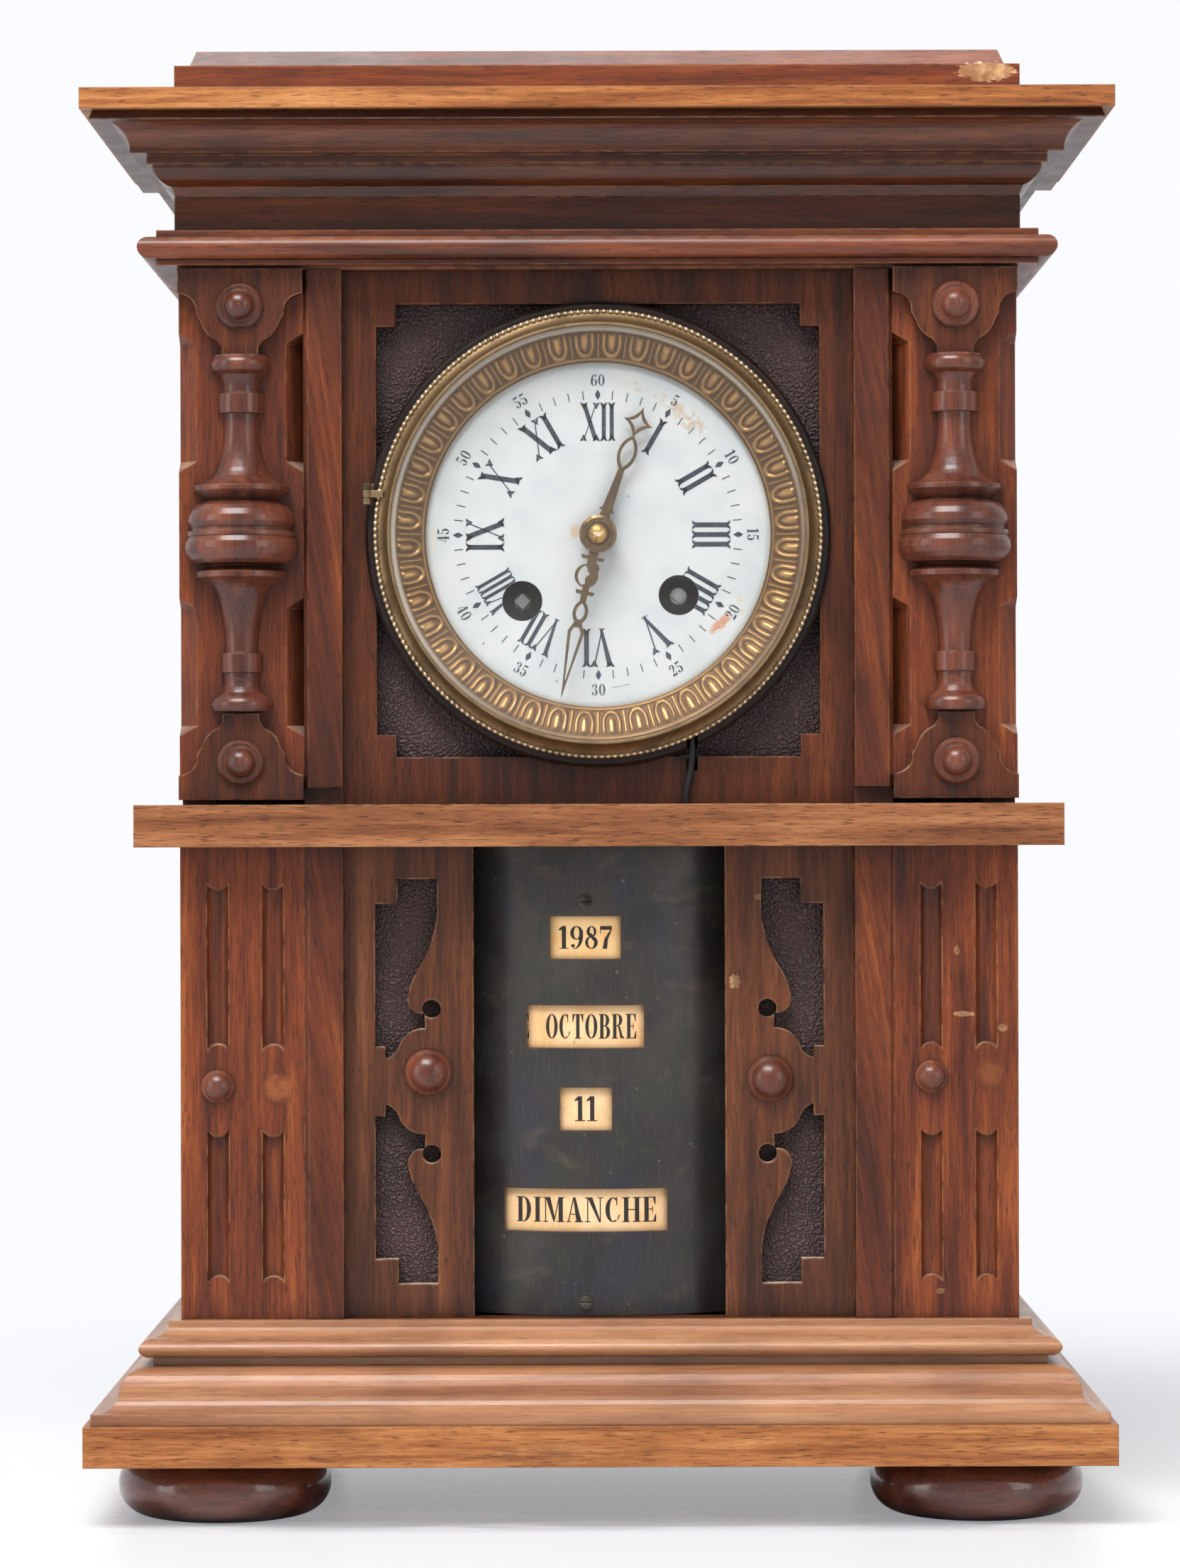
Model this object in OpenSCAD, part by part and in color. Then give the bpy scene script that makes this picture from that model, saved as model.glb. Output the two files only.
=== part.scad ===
// Walnut calendar clock: a cased striking movement over four calendar drums.
// Origin at the middle of the footprint on the ground, front facing -Y, Z up.

/* [Case] */
// Width of the top and base boards
board_w = 290; // [280:1:310]
// Depth of the top and base boards
board_d = 160; // [158:1:180]
// Overhang of the boards past the case on the front and sides
board_over = 25.5; // [24.5:0.5:30]
// Thickness of the case sides
side_t = 9.5; // [7:0.5:12]
// Thickness of the facing pieces in front of the panels
facing_t = 9; // [7:0.5:10]
// Height of the plain base board
base_board_t = 11.5; // [8:0.5:16]
// Height of the lower, calendar section
lower_h = 134.8; // [134:0.2:150]
// Thickness of the shelf between the two sections
shelf_t = 12; // [10:0.5:16]
// Overhang of the shelf past the case
shelf_over = 12.1; // [8:0.1:16]
// Height of the upper, dial section
upper_h = 152.6; // [150:0.2:170]
// Thickness of the top board
top_board_t = 5.9; // [4:0.1:9]
// Height of the cap board on top
cap_board_t = 9.8; // [6:0.1:14]
// Overhang of the cap board past the case
cap_over = 1; // [0.5:0.1:4]
// Height of the cove on the cap board
cap_cove_h = 4.9; // [3:0.1:8]
// How far the cap cove stands back at its foot
cap_cove_in = 3.9; // [2:0.1:8]
// How far the cap cove leans in over its height
cap_cove_lean = 2; // [1:0.1:4]
// Clearance of the back door all round
door_gap = 0.3; // [0.2:0.05:1]
// Thickness of the back door
door_t = 5; // [3:0.5:5]
// How far the back door stands in from the back edges of the boards
door_inset = 2.5; // [2.2:0.1:4]

/* [Feet] */
// Diameter of a bun foot
foot_d = 61; // [40:1:64]
// Height of a bun foot
foot_h = 17.5; // [12:0.5:26]
// Distance of the foot centres in from the ends of the base board
foot_in_x = 37; // [34:1:50]
// Distance of the foot centres in from the front and back of the base board
foot_in_y = 36.5; // [34:0.5:45]

/* [Base mouldings] */
// Height of the lower, ogee moulding with its fillet
ogee_h = 17.5; // [16:0.5:24]
// Overhang of the lip of the ogee moulding
lip_over = 23.5; // [21:0.5:25]
// Height of the lip
lip_h = 3.3; // [2:0.1:4]
// Overhang of the fillet on top of the ogee
neck_over = 7.3; // [5:0.1:9]
// Height of the upper, bead and cove moulding
bead_mould_h = 9.9; // [8.5:0.1:14]
// Overhang of the bead
bead_over = 11.3; // [9.5:0.1:13]
// Overhang of the fillet on top of the cove
cove_top_over = 3.3; // [1:0.1:5]

/* [Upper mouldings] */
// Height of the torus moulding with its fillets
torus_h = 10.7; // [10:0.1:14]
// Radius of the torus
torus_r = 3.1; // [2.5:0.1:3.6]
// Overhang of the fillets over and under the torus
torus_fillet_over = 5.8; // [4:0.1:8]
// Height of the plain frieze
frieze_h = 9.9; // [6:0.1:20]
// Overhang of the frieze
frieze_over = 1; // [0.5:0.1:3]
// Height of the cornice moulding
cornice_h = 21.9; // [20:0.1:30]
// Overhang of the top fillet of the cornice
cornice_over = 23.1; // [21:0.1:25]

/* [Pilasters] */
// Half width of the bay between the strips
bay_half = 73; // [72:0.5:76]
// Width of the strip beside a pilaster
strip_w = 11; // [8:0.5:12]
// How far the strips stand proud of the pilasters
strip_proud = 1.1; // [0.5:0.1:2]
// Gap under the upper pilasters
pilaster_gap = 1.4; // [0.5:0.1:3]
// Width of a flute, as a share of the pilaster
flute_share = 0.172; // [0.12:0.001:0.2]
// Depth of a flute, as a share of its width
flute_deep_share = 0.386; // [0.2:0.001:0.44]
// Height of the upper flutes
flute_top_h = 47.8; // [30:0.1:50]
// Height of the lower flutes
flute_low_h = 43.6; // [30:0.1:45]
// Distance between the ends of the flutes and the ends of the pilaster
flute_margin = 10.4; // [8:0.1:14]
// How far the wood bulges into the end of a flute, as a share of its width
flute_end_share = 0.31; // [0.1:0.01:0.45]
// Place of the outer column of flutes, as a share of the pilaster's width
flute_outer_share = 0.3; // [0.26:0.01:0.33]
// Distance between the two columns of flutes, as a share of that width
flute_pitch_share = 0.442; // [0.36:0.001:0.5]
// Height of a bracket on an upper pilaster
bracket_h = 24.6; // [20:0.1:26]
// Thickness of a bracket
bracket_t = 4; // [2:0.5:6]
// Width of the neck of a bracket, as a share of the pilaster
bracket_neck_share = 0.293; // [0.24:0.001:0.36]
// Half width of the half-turned baluster at its widest, as a share of the pilaster
baluster_share = 0.46; // [0.38:0.01:0.48]
// Height of each stopped chamfer on the edges of an upper pilaster
chamfer_h = 39.5; // [30:0.1:44]
// Width of those chamfers, as a share of the pilaster
chamfer_share = 0.141; // [0.09:0.001:0.16]
// Height of the slanted stop at each end of a chamfer
chamfer_stop = 3; // [1:0.1:6]

/* [Turned bosses] */
// Diameter of the bosses on the brackets and fret panels
boss_d = 13.3; // [10:0.1:15]
// Height of those bosses
boss_h = 5.5; // [4:0.1:8]
// Diameter of the small buttons on the lower pilasters
button_d = 9.4; // [7:0.1:11]
// Height of the small buttons
button_h = 4; // [3:0.1:6]
// Distance of a bracket boss from the wide end of its bracket
boss_in = 10.6; // [9:0.1:12]
// How far the left and right fret bosses sit above the middle of the panels
fret_boss_up = [2.6, 0.5]; // [-4:0.1:4]
// How far the left and right buttons sit above the middle of the pilasters
button_up = [-0.9, 1.4]; // [-4:0.1:4]

/* [Fret panels] */
// Half width of the opening between the fret panels
fret_in = 36; // [32:0.5:37]
// Thickness of a fret panel
fret_t = 4; // [3:0.5:6]
// Thickness of the leather-covered boards behind the frets
fret_board_t = 8.5; // [6:0.5:8.5]
// Height of a fret cutout
fret_cut_h = 51.5; // [50:0.1:54]
// Width of a fret cutout
fret_cut_w = 17.8; // [17:0.1:19]
// Distance of a fret cutout from the outer edge of its panel
fret_edge = 8.8; // [6:0.1:9]
// Radius of the round hole at the end of each fret
fret_hole_r = 2.65; // [2:0.05:3]

/* [Dial] */
// Height of the dial centre above the shelf
dial_up = 77; // [76:0.1:80]
// Width of the opening in the dial frame
frame_open_w = 126.8; // [120:0.2:130]
// Height of the opening in the dial frame
frame_open_h = 129.6; // [126:0.2:134]
// Width of the notch left in each corner of the frame opening
notch_w = 5.5; // [3:0.1:8]
// Height of that notch
notch_h = 6.4; // [3:0.1:8]
// Thickness of the dial frame
frame_t = 5; // [3:0.5:7]
// Thickness of the leather-covered board behind the dial frame
panel_t = 4; // [3:0.5:5]
// Outer radius of the wooden ring behind the bezel
wood_ring_r = 66.5; // [66:0.1:68]
// Thickness of the wooden ring
wood_ring_t = 8; // [7:0.1:9]
// Outer radius of the bezel
bezel_r = 64.1; // [63:0.1:65]
// Radius of the opening of the bezel lip
bezel_lip_r = 59.2; // [58:0.1:60]
// Depth of the bezel from its back to its lip
bezel_h = 6; // [5:0.1:8]
// Gap between the bezel and the wooden ring behind it
bezel_gap = 0.1; // [0.05:0.05:0.5]
// Radius at which the glass sits in the bezel
glass_r = 60.1; // [59.8:0.1:60.2]
// Thickness of the glass
glass_t = 1.5; // [1:0.1:2.5]
// Rise of the domed glass
glass_rise = 7.5; // [5:0.1:10]
// Radius of the visible enamel inside the stamped slip
enamel_visible_r = 49.3; // [45:0.1:50]
// Radius of the enamel dial
enamel_r = 50.5; // [50.2:0.1:52]
// Thickness of the enamel dial
enamel_t = 2.4; // [1.5:0.1:3]
// Distance from the front of the board to the face of the enamel
enamel_up = 4.9; // [4.5:0.1:5]
// Diameter of a winding hole
wind_hole_d = 11.5; // [9:0.1:13]

/* [Hands] */
// Length of the hour hand
hour_len = 38.7; // [30:0.1:42]
// Length of the minute hand
minute_len = 47.8; // [40:0.1:48.5]
// Thickness of a hand
hand_t = 0.6; // [0.4:0.1:1]
// Angle of the hour hand, clockwise from 12
hour_angle = 19.9; // [0:0.1:360]
// Angle of the minute hand, clockwise from 12
minute_angle = 192.9; // [0:0.1:360]
// Radius of the collet in the middle of the hands
collet_r = 5.35; // [4:0.05:6]

/* [Movement] */
// Distance between the two movement plates
plate_gap = 34; // [33:0.5:36]
// Thickness of a movement plate
plate_t = 2; // [1.5:0.1:3]
// Radius of a movement plate
plate_r = 50; // [50:0.5:54]
// Distance of the front plate behind the leather-covered board
plate_back = 3.5; // [3:0.1:4.5]
// Half the distance between the winding arbors
wind_x = 22.4; // [22:0.1:23]
// How far the winding arbors lie below the centre
wind_z = 18.1; // [18:0.1:18.6]
// Turn of the movement in the case, counter-clockwise from the front
movement_turn = 2; // [0:0.5:3]
// Running clearance of a pivot or pipe, on the radius
run_gap = 0.05; // [0.03:0.01:0.08]
// Distance from the centre to the minute wheel stud
minute_stud_r = 18; // [18:0.1:18.1]
// Distance from the centre up to the escape arbor
escape_up = 24; // [23.8:0.1:24.2]
// Distance from the escape arbor up to the pallet arbor
pallet_up = 14; // [13.9:0.1:15]
// Radius of the escape wheel
escape_r = 9; // [8:0.1:9]
// Distance from the suspension to the middle of the bob
pendulum_len = 94; // [80:0.5:94]
// Radius of the pendulum bob
bob_r = 16; // [12:0.5:16]
// Thickness of the pendulum bob
bob_t = 8; // [5:0.5:9]
// Radius of the bell
bell_r = 30; // [26:0.5:30]
// Depth of the bell
bell_depth = 15; // [12:0.5:18]
// Distance from the back plate to the mouth of the bell
bell_back = 24; // [22:0.5:28]

/* [Calendar] */
// Clearance between the drums and the back door
drum_back = 1.4; // [1:0.1:4]
// Gap between the drums and the curved mask
mask_gap = 0.6; // [0.5:0.1:1]
// Thickness of the sheet mask
mask_t = 0.8; // [0.5:0.1:1.2]
// How far the windows lie left of the middle
window_left = 4; // [0:0.1:6]
// Window for the year: width
year_win_w = 20.2; // [16:0.1:24]
// Window for the month: width
month_win_w = 33.5; // [28:0.1:36]
// Window for the date: width
date_win_w = 14.9; // [10:0.1:18]
// Window for the weekday: width
weekday_win_w = 46.6; // [40:0.1:50]
// Height of every window
win_h = 12.2; // [8:0.1:14]
// Height of the middle of the year window above the ground
year_z = 164.9; // [164:0.1:166]
// Height of the middle of the month window above the ground
month_z = 139.4; // [139:0.1:140]
// Height of the middle of the date window above the ground
date_z = 115.8; // [115.5:0.1:116.5]
// Height of the middle of the weekday window above the ground
weekday_z = 86.8; // [86:0.1:88]
// Height of a drum
drum_h = 21.5; // [18:0.1:22]
// Radius of the spindle that carries the drums
spindle_r = 2; // [1.5:0.1:3]
// Radius of the hub of a drum
hub_r = 6; // [5:0.1:9]

/* [Trip rod] */
// Radius of the trip rod
trip_r = 0.9; // [0.6:0.1:1.1]
// Downward travel of the trip rod
trip_travel = 3; // [1:0.5:3]
// Where the rod enters the shelf, right of the middle
trip_x = 24.9; // [24:0.1:26]
// Sideways step of the rod under the bezel
trip_step = 1.8; // [0:0.1:3]

/* [Hidden] */
case_half = board_w / 2 - board_over;
front_y = -board_d / 2 + board_over;
back_y = board_d / 2;
panel_y = front_y + facing_t;
inner_half = case_half - side_t;
base_z = foot_h;
floor_z = base_z + base_board_t;
neck_z = floor_z + ogee_h;
lower_z = neck_z + bead_mould_h;
shelf_z = lower_z + lower_h;
upper_z = shelf_z + shelf_t;
torus_z = upper_z + upper_h;
frieze_z = torus_z + torus_h;
cornice_z = frieze_z + frieze_h;
top_z = cornice_z + cornice_h;
cap_z = top_z + top_board_t;
lower_mid_z = lower_z + lower_h / 2;
door_y = back_y - door_inset;
strip_in = bay_half;
strip_out = bay_half + strip_w;
pilaster_w = case_half - strip_out;
flute_w = flute_share * pilaster_w;
flute_depth = flute_deep_share * flute_w;
flute_end = flute_end_share * flute_w;
flute_outer = flute_outer_share * pilaster_w;
flute_pitch = flute_pitch_share * pilaster_w;
bracket_neck_w = bracket_neck_share * pilaster_w;
baluster_r = baluster_share * pilaster_w;
chamfer_w = chamfer_share * pilaster_w;
foot_x = board_w / 2 - foot_in_x;
foot_y = board_d / 2 - foot_in_y;
pilaster_z = upper_z + pilaster_gap;
pilaster_x = case_half - pilaster_w / 2;
dial_z = upper_z + dial_up;
frame_z = (pilaster_z + torus_z) / 2 + 1.3;
ring_y = panel_y - wood_ring_t;
bezel_y = ring_y - bezel_gap;
lip_y = bezel_y - bezel_h;
lip_t = 1.3;
glass_y = lip_y + lip_t;
slip_t = 0.8;
enamel_y = panel_y - enamel_up;
slip_y = enamel_y - 0.7;
hour_y = enamel_y - 2.2;
minute_y = hour_y - 2.6;
fp_y = panel_y + panel_t + plate_back;
in_y = fp_y + plate_t;
bp_y = in_y + plate_gap;
rear_y = bp_y + plate_t;
cannon_r = 2;
pipe_r = 3;
wind_r = 2.4;
wind_square = 3.3;
mask_front_y = panel_y - fret_t;
mask_r = (door_y - door_t - drum_back + mask_gap + mask_t - mask_front_y) / 2;
drum_r = mask_r - mask_gap - mask_t;
drum_y = mask_front_y + mask_r;
mask_half = fret_in + 2.2;
flange_y = panel_y + fret_board_t;
mask_fold_x = sqrt(mask_r * mask_r - (drum_y - flange_y) * (drum_y - flange_y));
hinge_x = -inner_half - 0.2;
hinge_y = door_y + 0.7;
hinge_r = 1.8;
hinge_h = 24;
hinge_zs = [floor_z + 60, top_z - 90];
bezel_pin_x = -bezel_r - 1.8;
bezel_pin_y = bezel_y - 2.4;
bezel_pin_z = dial_z + 11.5;
bezel_knuckle_r = 1.3;
stud_r = 1;
arbor_r = 1.2;
fine_arbor_r = 0.75;
hair_arbor_r = 0.5;
great_n = 84;
inter_leaves = 12;
inter_n = 72;
centre_leaves = 10;
centre_n = 84;
third_leaves = 7;
third_n = 75;
escape_leaves = 6;
escape_n = 39;
cannon_n = 20;
minute_n = 60;
minute_leaves = 20;
hour_n = 80;
great_m = 0.5;
inter_m = 0.4;
centre_m = 0.33;
third_m = 0.3;
cannon_m = 2 * minute_stud_r / (cannon_n + minute_n);
hour_m = 2 * minute_stud_r / (minute_leaves + hour_n);
great_y = in_y + 0.5;
great_t = 1.8;
drum_len = 21.5;
inter_y = bp_y - 8.6;
centre_y = bp_y - 3.5;
third_y = in_y + 5;
escape_y = in_y + 16;
thin_t = 1;
swing_y = rear_y + 10;
going_at = [-wind_x, -wind_z];
strike_at = [wind_x, -wind_z];
inter_at = two_circles([0, 0], going_at, inter_m * (inter_n + centre_leaves) / 2,
    great_m * (great_n + inter_leaves) / 2, -1);
escape_at = [0, escape_up];
third_at = two_circles([0, 0], escape_at, centre_m * (centre_n + third_leaves) / 2,
    third_m * (third_n + escape_leaves) / 2, -1);
pallet_at = [0, escape_up + pallet_up];
minute_at = [0, minute_stud_r];
hammer_at = [38, 12];
pallet_world = turned(pallet_at);
minute_phase = mesh_phase(0, cannon_n, direction([0, 0], minute_at), minute_n);
hour_phase = mesh_phase(0, minute_leaves, direction(minute_at, [0, 0]), hour_n);
inter_phase = mesh_phase(0, great_n, direction(going_at, inter_at), inter_leaves);
centre_phase = mesh_phase(0, inter_n, direction(inter_at, [0, 0]), centre_leaves);
third_phase = mesh_phase(0, centre_n, direction([0, 0], third_at), third_leaves);
escape_phase = mesh_phase(0, third_n, direction(third_at, escape_at), escape_leaves);
pillar_angles = [5, 60, 120, 175, 270];
pillar_r = 2.5;
bell_z = dial_z + 2;
stand_at = [-38, -14];
cap_edge = case_half + cap_over;
bracket_half = pilaster_w / 2;
mitre_gap = 0.02;
far = 400;
fine = 96;
small = 32;
e = 0.01;

// Points and angles
function polar(r, a) = [r * cos(a), r * sin(a)];
function frac(v) = v - floor(v);
function direction(p, q) = atan2(q[1] - p[1], q[0] - p[0]);
function turned(p) = let (c = cos(movement_turn), s = sin(movement_turn))
    [c * p[0] - s * p[1], s * p[0] + c * p[1]];
// Meeting point of two circles, on the left of the line between centres when side is 1
function two_circles(p, q, rp, rq, side) = let (d = norm(q - p), u = (q - p) / d,
    t = (d * d + rp * rp - rq * rq) / (2 * d), h = sqrt(rp * rp - t * t))
    p + t * u + side * h * [-u[1], u[0]];
// Arc from p to q, leaving out p: counter-clockwise when r is positive
function arc_to(p, q, r, n = 6) = let (d = q - p, l = norm(d), s = sign(r),
    h = s * sqrt(r * r - l * l / 4), c = (p + q) / 2 + h * [-d[1], d[0]] / l,
    a = direction(c, p), sweep = s * 2 * asin(l / 2 / abs(r)))
    [for (i = [1 : n]) c + polar(abs(r), a + sweep * i / n)];

// Gear teeth: a tooth of the first gear stands at angle phase
function gear_points(n, r, low, high, foot, mid, tip, phase) = [for (k = [0 : n - 1])
    let (a = phase + k * 360 / n, p = 360 / n)
    each [polar(r - low, a - foot * p), polar(r, a - mid * p), polar(r + high, a - tip * p),
        polar(r + high, a + tip * p), polar(r, a + mid * p), polar(r - low, a + foot * p)]];
function mesh_phase(phase, n, angle, n2) =
    angle + 180 - (0.5 - frac((angle - phase) * n / 360)) * 360 / n2;
function star_points(n, r1, r2) = [for (k = [0 : n - 1])
    each [polar(r1, k * 360 / n), polar(r2, (k + 0.5) * 360 / n)]];

module wheel_teeth(n, m, y, t, phase) {
    flat(y, t) polygon(gear_points(n, n * m / 2, 1.1 * m, 0.8 * m, 0.24, 0.19, 0.07, phase));
}

module pinion_leaves(n, m, y, t, phase) {
    flat(y, t) polygon(gear_points(n, n * m / 2, 1.1 * m, 0.5 * m, 0.15, 0.14, 0.06, phase));
}

// A flat shape drawn as seen from the front, from depth y back to y + t
module flat(y, t) {
    translate([0, y + t, 0]) rotate([90, 0, 0]) linear_extrude(t) children();
}

// A round bar along the depth, from y to y + l
module bar(r, y, l, fn = small) {
    translate([0, y, 0]) rotate([-90, 0, 0]) cylinder(r = r, h = l, $fn = fn);
}

// A turned shape about the depth axis: first coordinate radius, second forward of y
module turned_front(y, fn = fine) {
    translate([0, y, 0]) rotate([90, 0, 0]) rotate_extrude($fn = fn) children();
}

module at(p) {
    translate([p[0], 0, p[1]]) children();
}

module in_movement() {
    translate([0, 0, dial_z]) rotate([0, -movement_turn, 0]) children();
}

module box(x0, x1, y0, y1, z0, z1) {
    translate([x0, y0, z0]) cube([x1 - x0, y1 - y0, z1 - z0]);
}

module both_sides() {
    children();
    mirror([1, 0, 0]) children();
}

// A moulding run round the front and both sides, mitred at the front corners.
// Its section is drawn as overhang and height above z.
module mitred_run(z) {
    end = case_half - mitre_gap;
    translate([0, 0, z]) {
        intersection() {
            translate([0, front_y, 0]) rotate([90, 0, -90])
                linear_extrude(board_w, center = true) children();
            translate([0, 0, -1]) linear_extrude(far)
                polygon([[-end, front_y], [end, front_y],
                    [end + far, front_y - far], [-end - far, front_y - far]]);
        }
        both_sides() intersection() {
            translate([case_half, back_y, 0]) rotate([90, 0, 0])
                linear_extrude(board_d) children();
            translate([0, 0, -1]) linear_extrude(far)
                polygon([[case_half, front_y], [case_half + far, front_y - far],
                    [case_half + far, back_y + 1], [case_half, back_y + 1]]);
        }
    }
}

// Tube through points, with round joints
module rod_path(points, r) {
    for (i = [0 : len(points) - 2]) {
        d = points[i + 1] - points[i];
        translate(points[i]) {
            sphere(r = r + e, $fn = small);
            rotate([0, acos(d[2] / norm(d)), atan2(d[1], d[0])])
                cylinder(r = r, h = norm(d), $fn = small);
        }
    }
    translate(points[len(points) - 1]) sphere(r = r + e, $fn = small);
}

// Case
module bun_feet() {
    edge_r = foot_h / 2;
    mid = foot_d / 2 - edge_r;
    color([0.31, 0.19, 0.15])
    for (x = [-foot_x, foot_x], y = [-foot_y, foot_y]) translate([x, y, 0])
        rotate_extrude($fn = fine) {
            square([mid, foot_h]);
            intersection() {
                translate([mid, edge_r]) circle(edge_r, $fn = fine);
                square([foot_d, foot_h]);
            }
        }
}

module base_board() {
    color([0.55, 0.32, 0.19])
        box(-board_w / 2, board_w / 2, -board_d / 2, back_y, base_z, floor_z);
}

module base_ogee_moulding() {
    lip_step = 2.6;
    hollow = [lip_over - lip_step, lip_h];
    shoulder = [(lip_over + neck_over) / 2 + 0.8, (lip_h + ogee_h) / 2 - 1.8];
    crown = [neck_over + 2.4, ogee_h - 2.4];
    color([0.62, 0.40, 0.26]) mitred_run(floor_z)
        polygon(concat([[0, 0], [lip_over, 0], [lip_over, lip_h], hollow],
            arc_to(hollow, shoulder, -5.5), arc_to(shoulder, crown, 7),
            [[neck_over, ogee_h - 2.4], [neck_over, ogee_h], [0, ogee_h]]));
}

module base_bead_moulding() {
    low = [neck_over + 0.8, 0];
    high = [bead_over - 3, 5];
    cove = [bead_over - 3, 5.3];
    top = [cove_top_over, bead_mould_h - 2];
    color([0.62, 0.40, 0.26]) mitred_run(neck_z)
        polygon(concat([[0, 0], low], arc_to(low, [bead_over, 2.6], 3.2),
            arc_to([bead_over, 2.6], high, 3), [cove], arc_to(cove, top, -6.6),
            [[cove_top_over, bead_mould_h], [0, bead_mould_h]]));
}

module lower_sides() {
    color([0.45, 0.25, 0.16]) difference() {
        both_sides() box(inner_half, case_half, panel_y, door_y, floor_z, shelf_z);
        hinge_mortise();
    }
}

module hinge_mortise() {
    for (z = hinge_zs) translate([hinge_x, hinge_y, z - 0.3])
        cylinder(r = hinge_r + 0.25, h = hinge_h + 0.6, $fn = small);
}

module upper_sides() {
    color([0.45, 0.25, 0.16]) difference() {
        both_sides() box(inner_half, case_half, panel_y, door_y, upper_z, top_z);
        hinge_mortise();
    }
}

module front_rails() {
    color([0.40, 0.22, 0.14]) {
        box(-case_half, case_half, front_y, panel_y, floor_z, lower_z);
        box(-case_half, case_half, front_y, panel_y, torus_z, top_z);
    }
}

module shelf_board() {
    half = case_half + shelf_over;
    slot = trip_r + 0.7;
    color([0.58, 0.39, 0.27]) difference() {
        box(-half, half, front_y - shelf_over, back_y, shelf_z, upper_z);
        box(-inner_half - door_gap, inner_half + door_gap, door_y - door_t - door_gap,
            back_y + 1, shelf_z - 1, upper_z + 1);
        translate([trip_x, trip_y(), shelf_z]) cylinder(r = slot, h = far, $fn = small);
        box(trip_x - slot, trip_x + slot, trip_y() - slot, trip_back_y() + slot,
            shelf_z - 1, trip_leg_z() + trip_r + 0.7);
    }
}

module torus_moulding() {
    fillet = 1.6;
    color([0.38, 0.22, 0.15]) mitred_run(torus_z) {
        square([0.4, torus_h]);
        translate([0, 0.8]) square([torus_fillet_over, fillet]);
        translate([0, 0.8]) square([torus_fillet_over - 1, torus_h - 0.8]);
        translate([0, torus_h - 2]) square([torus_fillet_over, 2]);
        translate([torus_fillet_over + 1.9, 0.8 + fillet + torus_r])
            circle(torus_r, $fn = 48);
    }
}

module frieze_moulding() {
    color([0.36, 0.22, 0.15]) mitred_run(frieze_z) square([frieze_over, frieze_h]);
}

module cornice_moulding() {
    ovolo_top = [cornice_over - 16.4, 7.7];
    ovolo_low = [1.8, 2.9];
    fillet = [cornice_over - 14.9, 8.6];
    cove_low = [cornice_over - 10.6, 11.2];
    cove_top = [cornice_over - 5.8, cornice_h - 2.7];
    color([0.37, 0.22, 0.16]) mitred_run(cornice_z)
        polygon(concat([[0, 0], [0.8, 0], [1.2, 1.4], ovolo_low],
            arc_to(ovolo_low, ovolo_top, 6.5), [[ovolo_top[0], fillet[1]], fillet,
            [fillet[0], cove_low[1]], cove_low], arc_to(cove_low, cove_top, -8),
            [[cornice_over, cornice_h - 2.7], [cornice_over - 1, cornice_h],
            [0, cornice_h]]));
}

module top_board() {
    color([0.62, 0.36, 0.18])
        box(-board_w / 2, board_w / 2, -board_d / 2, back_y, top_z, cap_z);
}

module cap_board() {
    foot = cap_edge - cap_cove_in;
    crest = foot - cap_cove_lean;
    shift = case_half + front_y;
    slope_z = cap_z + cap_board_t;
    color([0.42, 0.25, 0.16]) {
        box(-cap_edge, cap_edge, shift - cap_edge, back_y, cap_z, slope_z);
        intersection() {
            translate([0, back_y, slope_z]) rotate([90, 0, 0]) linear_extrude(far)
                polygon([[-foot, 0], [foot, 0], [crest, cap_cove_h], [-crest, cap_cove_h]]);
            translate([-far, shift, slope_z]) rotate([90, 0, 90]) linear_extrude(2 * far)
                polygon([[-foot, 0], [back_y - shift, 0], [back_y - shift, cap_cove_h],
                    [-crest, cap_cove_h]]);
        }
    }
}

module back_door() {
    half = inner_half - door_gap;
    color([0.40, 0.24, 0.15]) difference() {
        box(-half, half, door_y - door_t, door_y, floor_z + door_gap, top_z - door_gap);
        hinge_mortise();
    }
}

// Knuckles of a butt hinge: thirds 0 and 2 fixed, third 1 on the door
module knuckle(third, r, bore) {
    part_h = hinge_h / 3;
    gap = 0.1;
    translate([hinge_x, hinge_y, third * part_h + gap / 2]) difference() {
        cylinder(r = r, h = part_h - gap, $fn = small);
        if (bore > 0) translate([0, 0, -1]) cylinder(r = bore, h = part_h + 2, $fn = small);
    }
}

module hinge_leaves() {
    pin_r = 0.8;
    leaf_t = 0.8;
    part_h = hinge_h / 3;
    clear_r = hinge_r + 0.3;
    color([0.72, 0.58, 0.32]) {
        for (z = hinge_zs) translate([0, 0, z]) {
            knuckle(0, hinge_r, 0);
            knuckle(2, hinge_r, 0);
            translate([hinge_x, hinge_y, 0]) cylinder(r = pin_r, h = hinge_h, $fn = small);
            box(-case_half + 0.5, hinge_x - clear_r, door_y, door_y + leaf_t, 0, hinge_h);
            for (k = [0, 2])
                box(hinge_x - clear_r - e, hinge_x, door_y, door_y + leaf_t,
                    k * part_h + 0.05, (k + 1) * part_h - 0.05);
        }
        // Fixed half of the small bezel hinge, on the front of the wooden ring
        translate([bezel_pin_x, bezel_pin_y, bezel_pin_z]) {
            for (z = [-3, 1.2]) translate([0, 0, z])
                cylinder(r = bezel_knuckle_r, h = 1.8, $fn = small);
            translate([0, 0, -3]) cylinder(r = 0.5, h = 6, $fn = small);
        }
        for (z = [-3, 1.2])
            box(bezel_pin_x - 0.5, bezel_pin_x + 0.5, bezel_pin_y, ring_y,
                bezel_pin_z + z, bezel_pin_z + z + 1.8);
        box(bezel_pin_x - 0.5, -wood_ring_r + 2.6, ring_y - 0.7, ring_y,
            bezel_pin_z - 3, bezel_pin_z + 3);
    }
}

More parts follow.
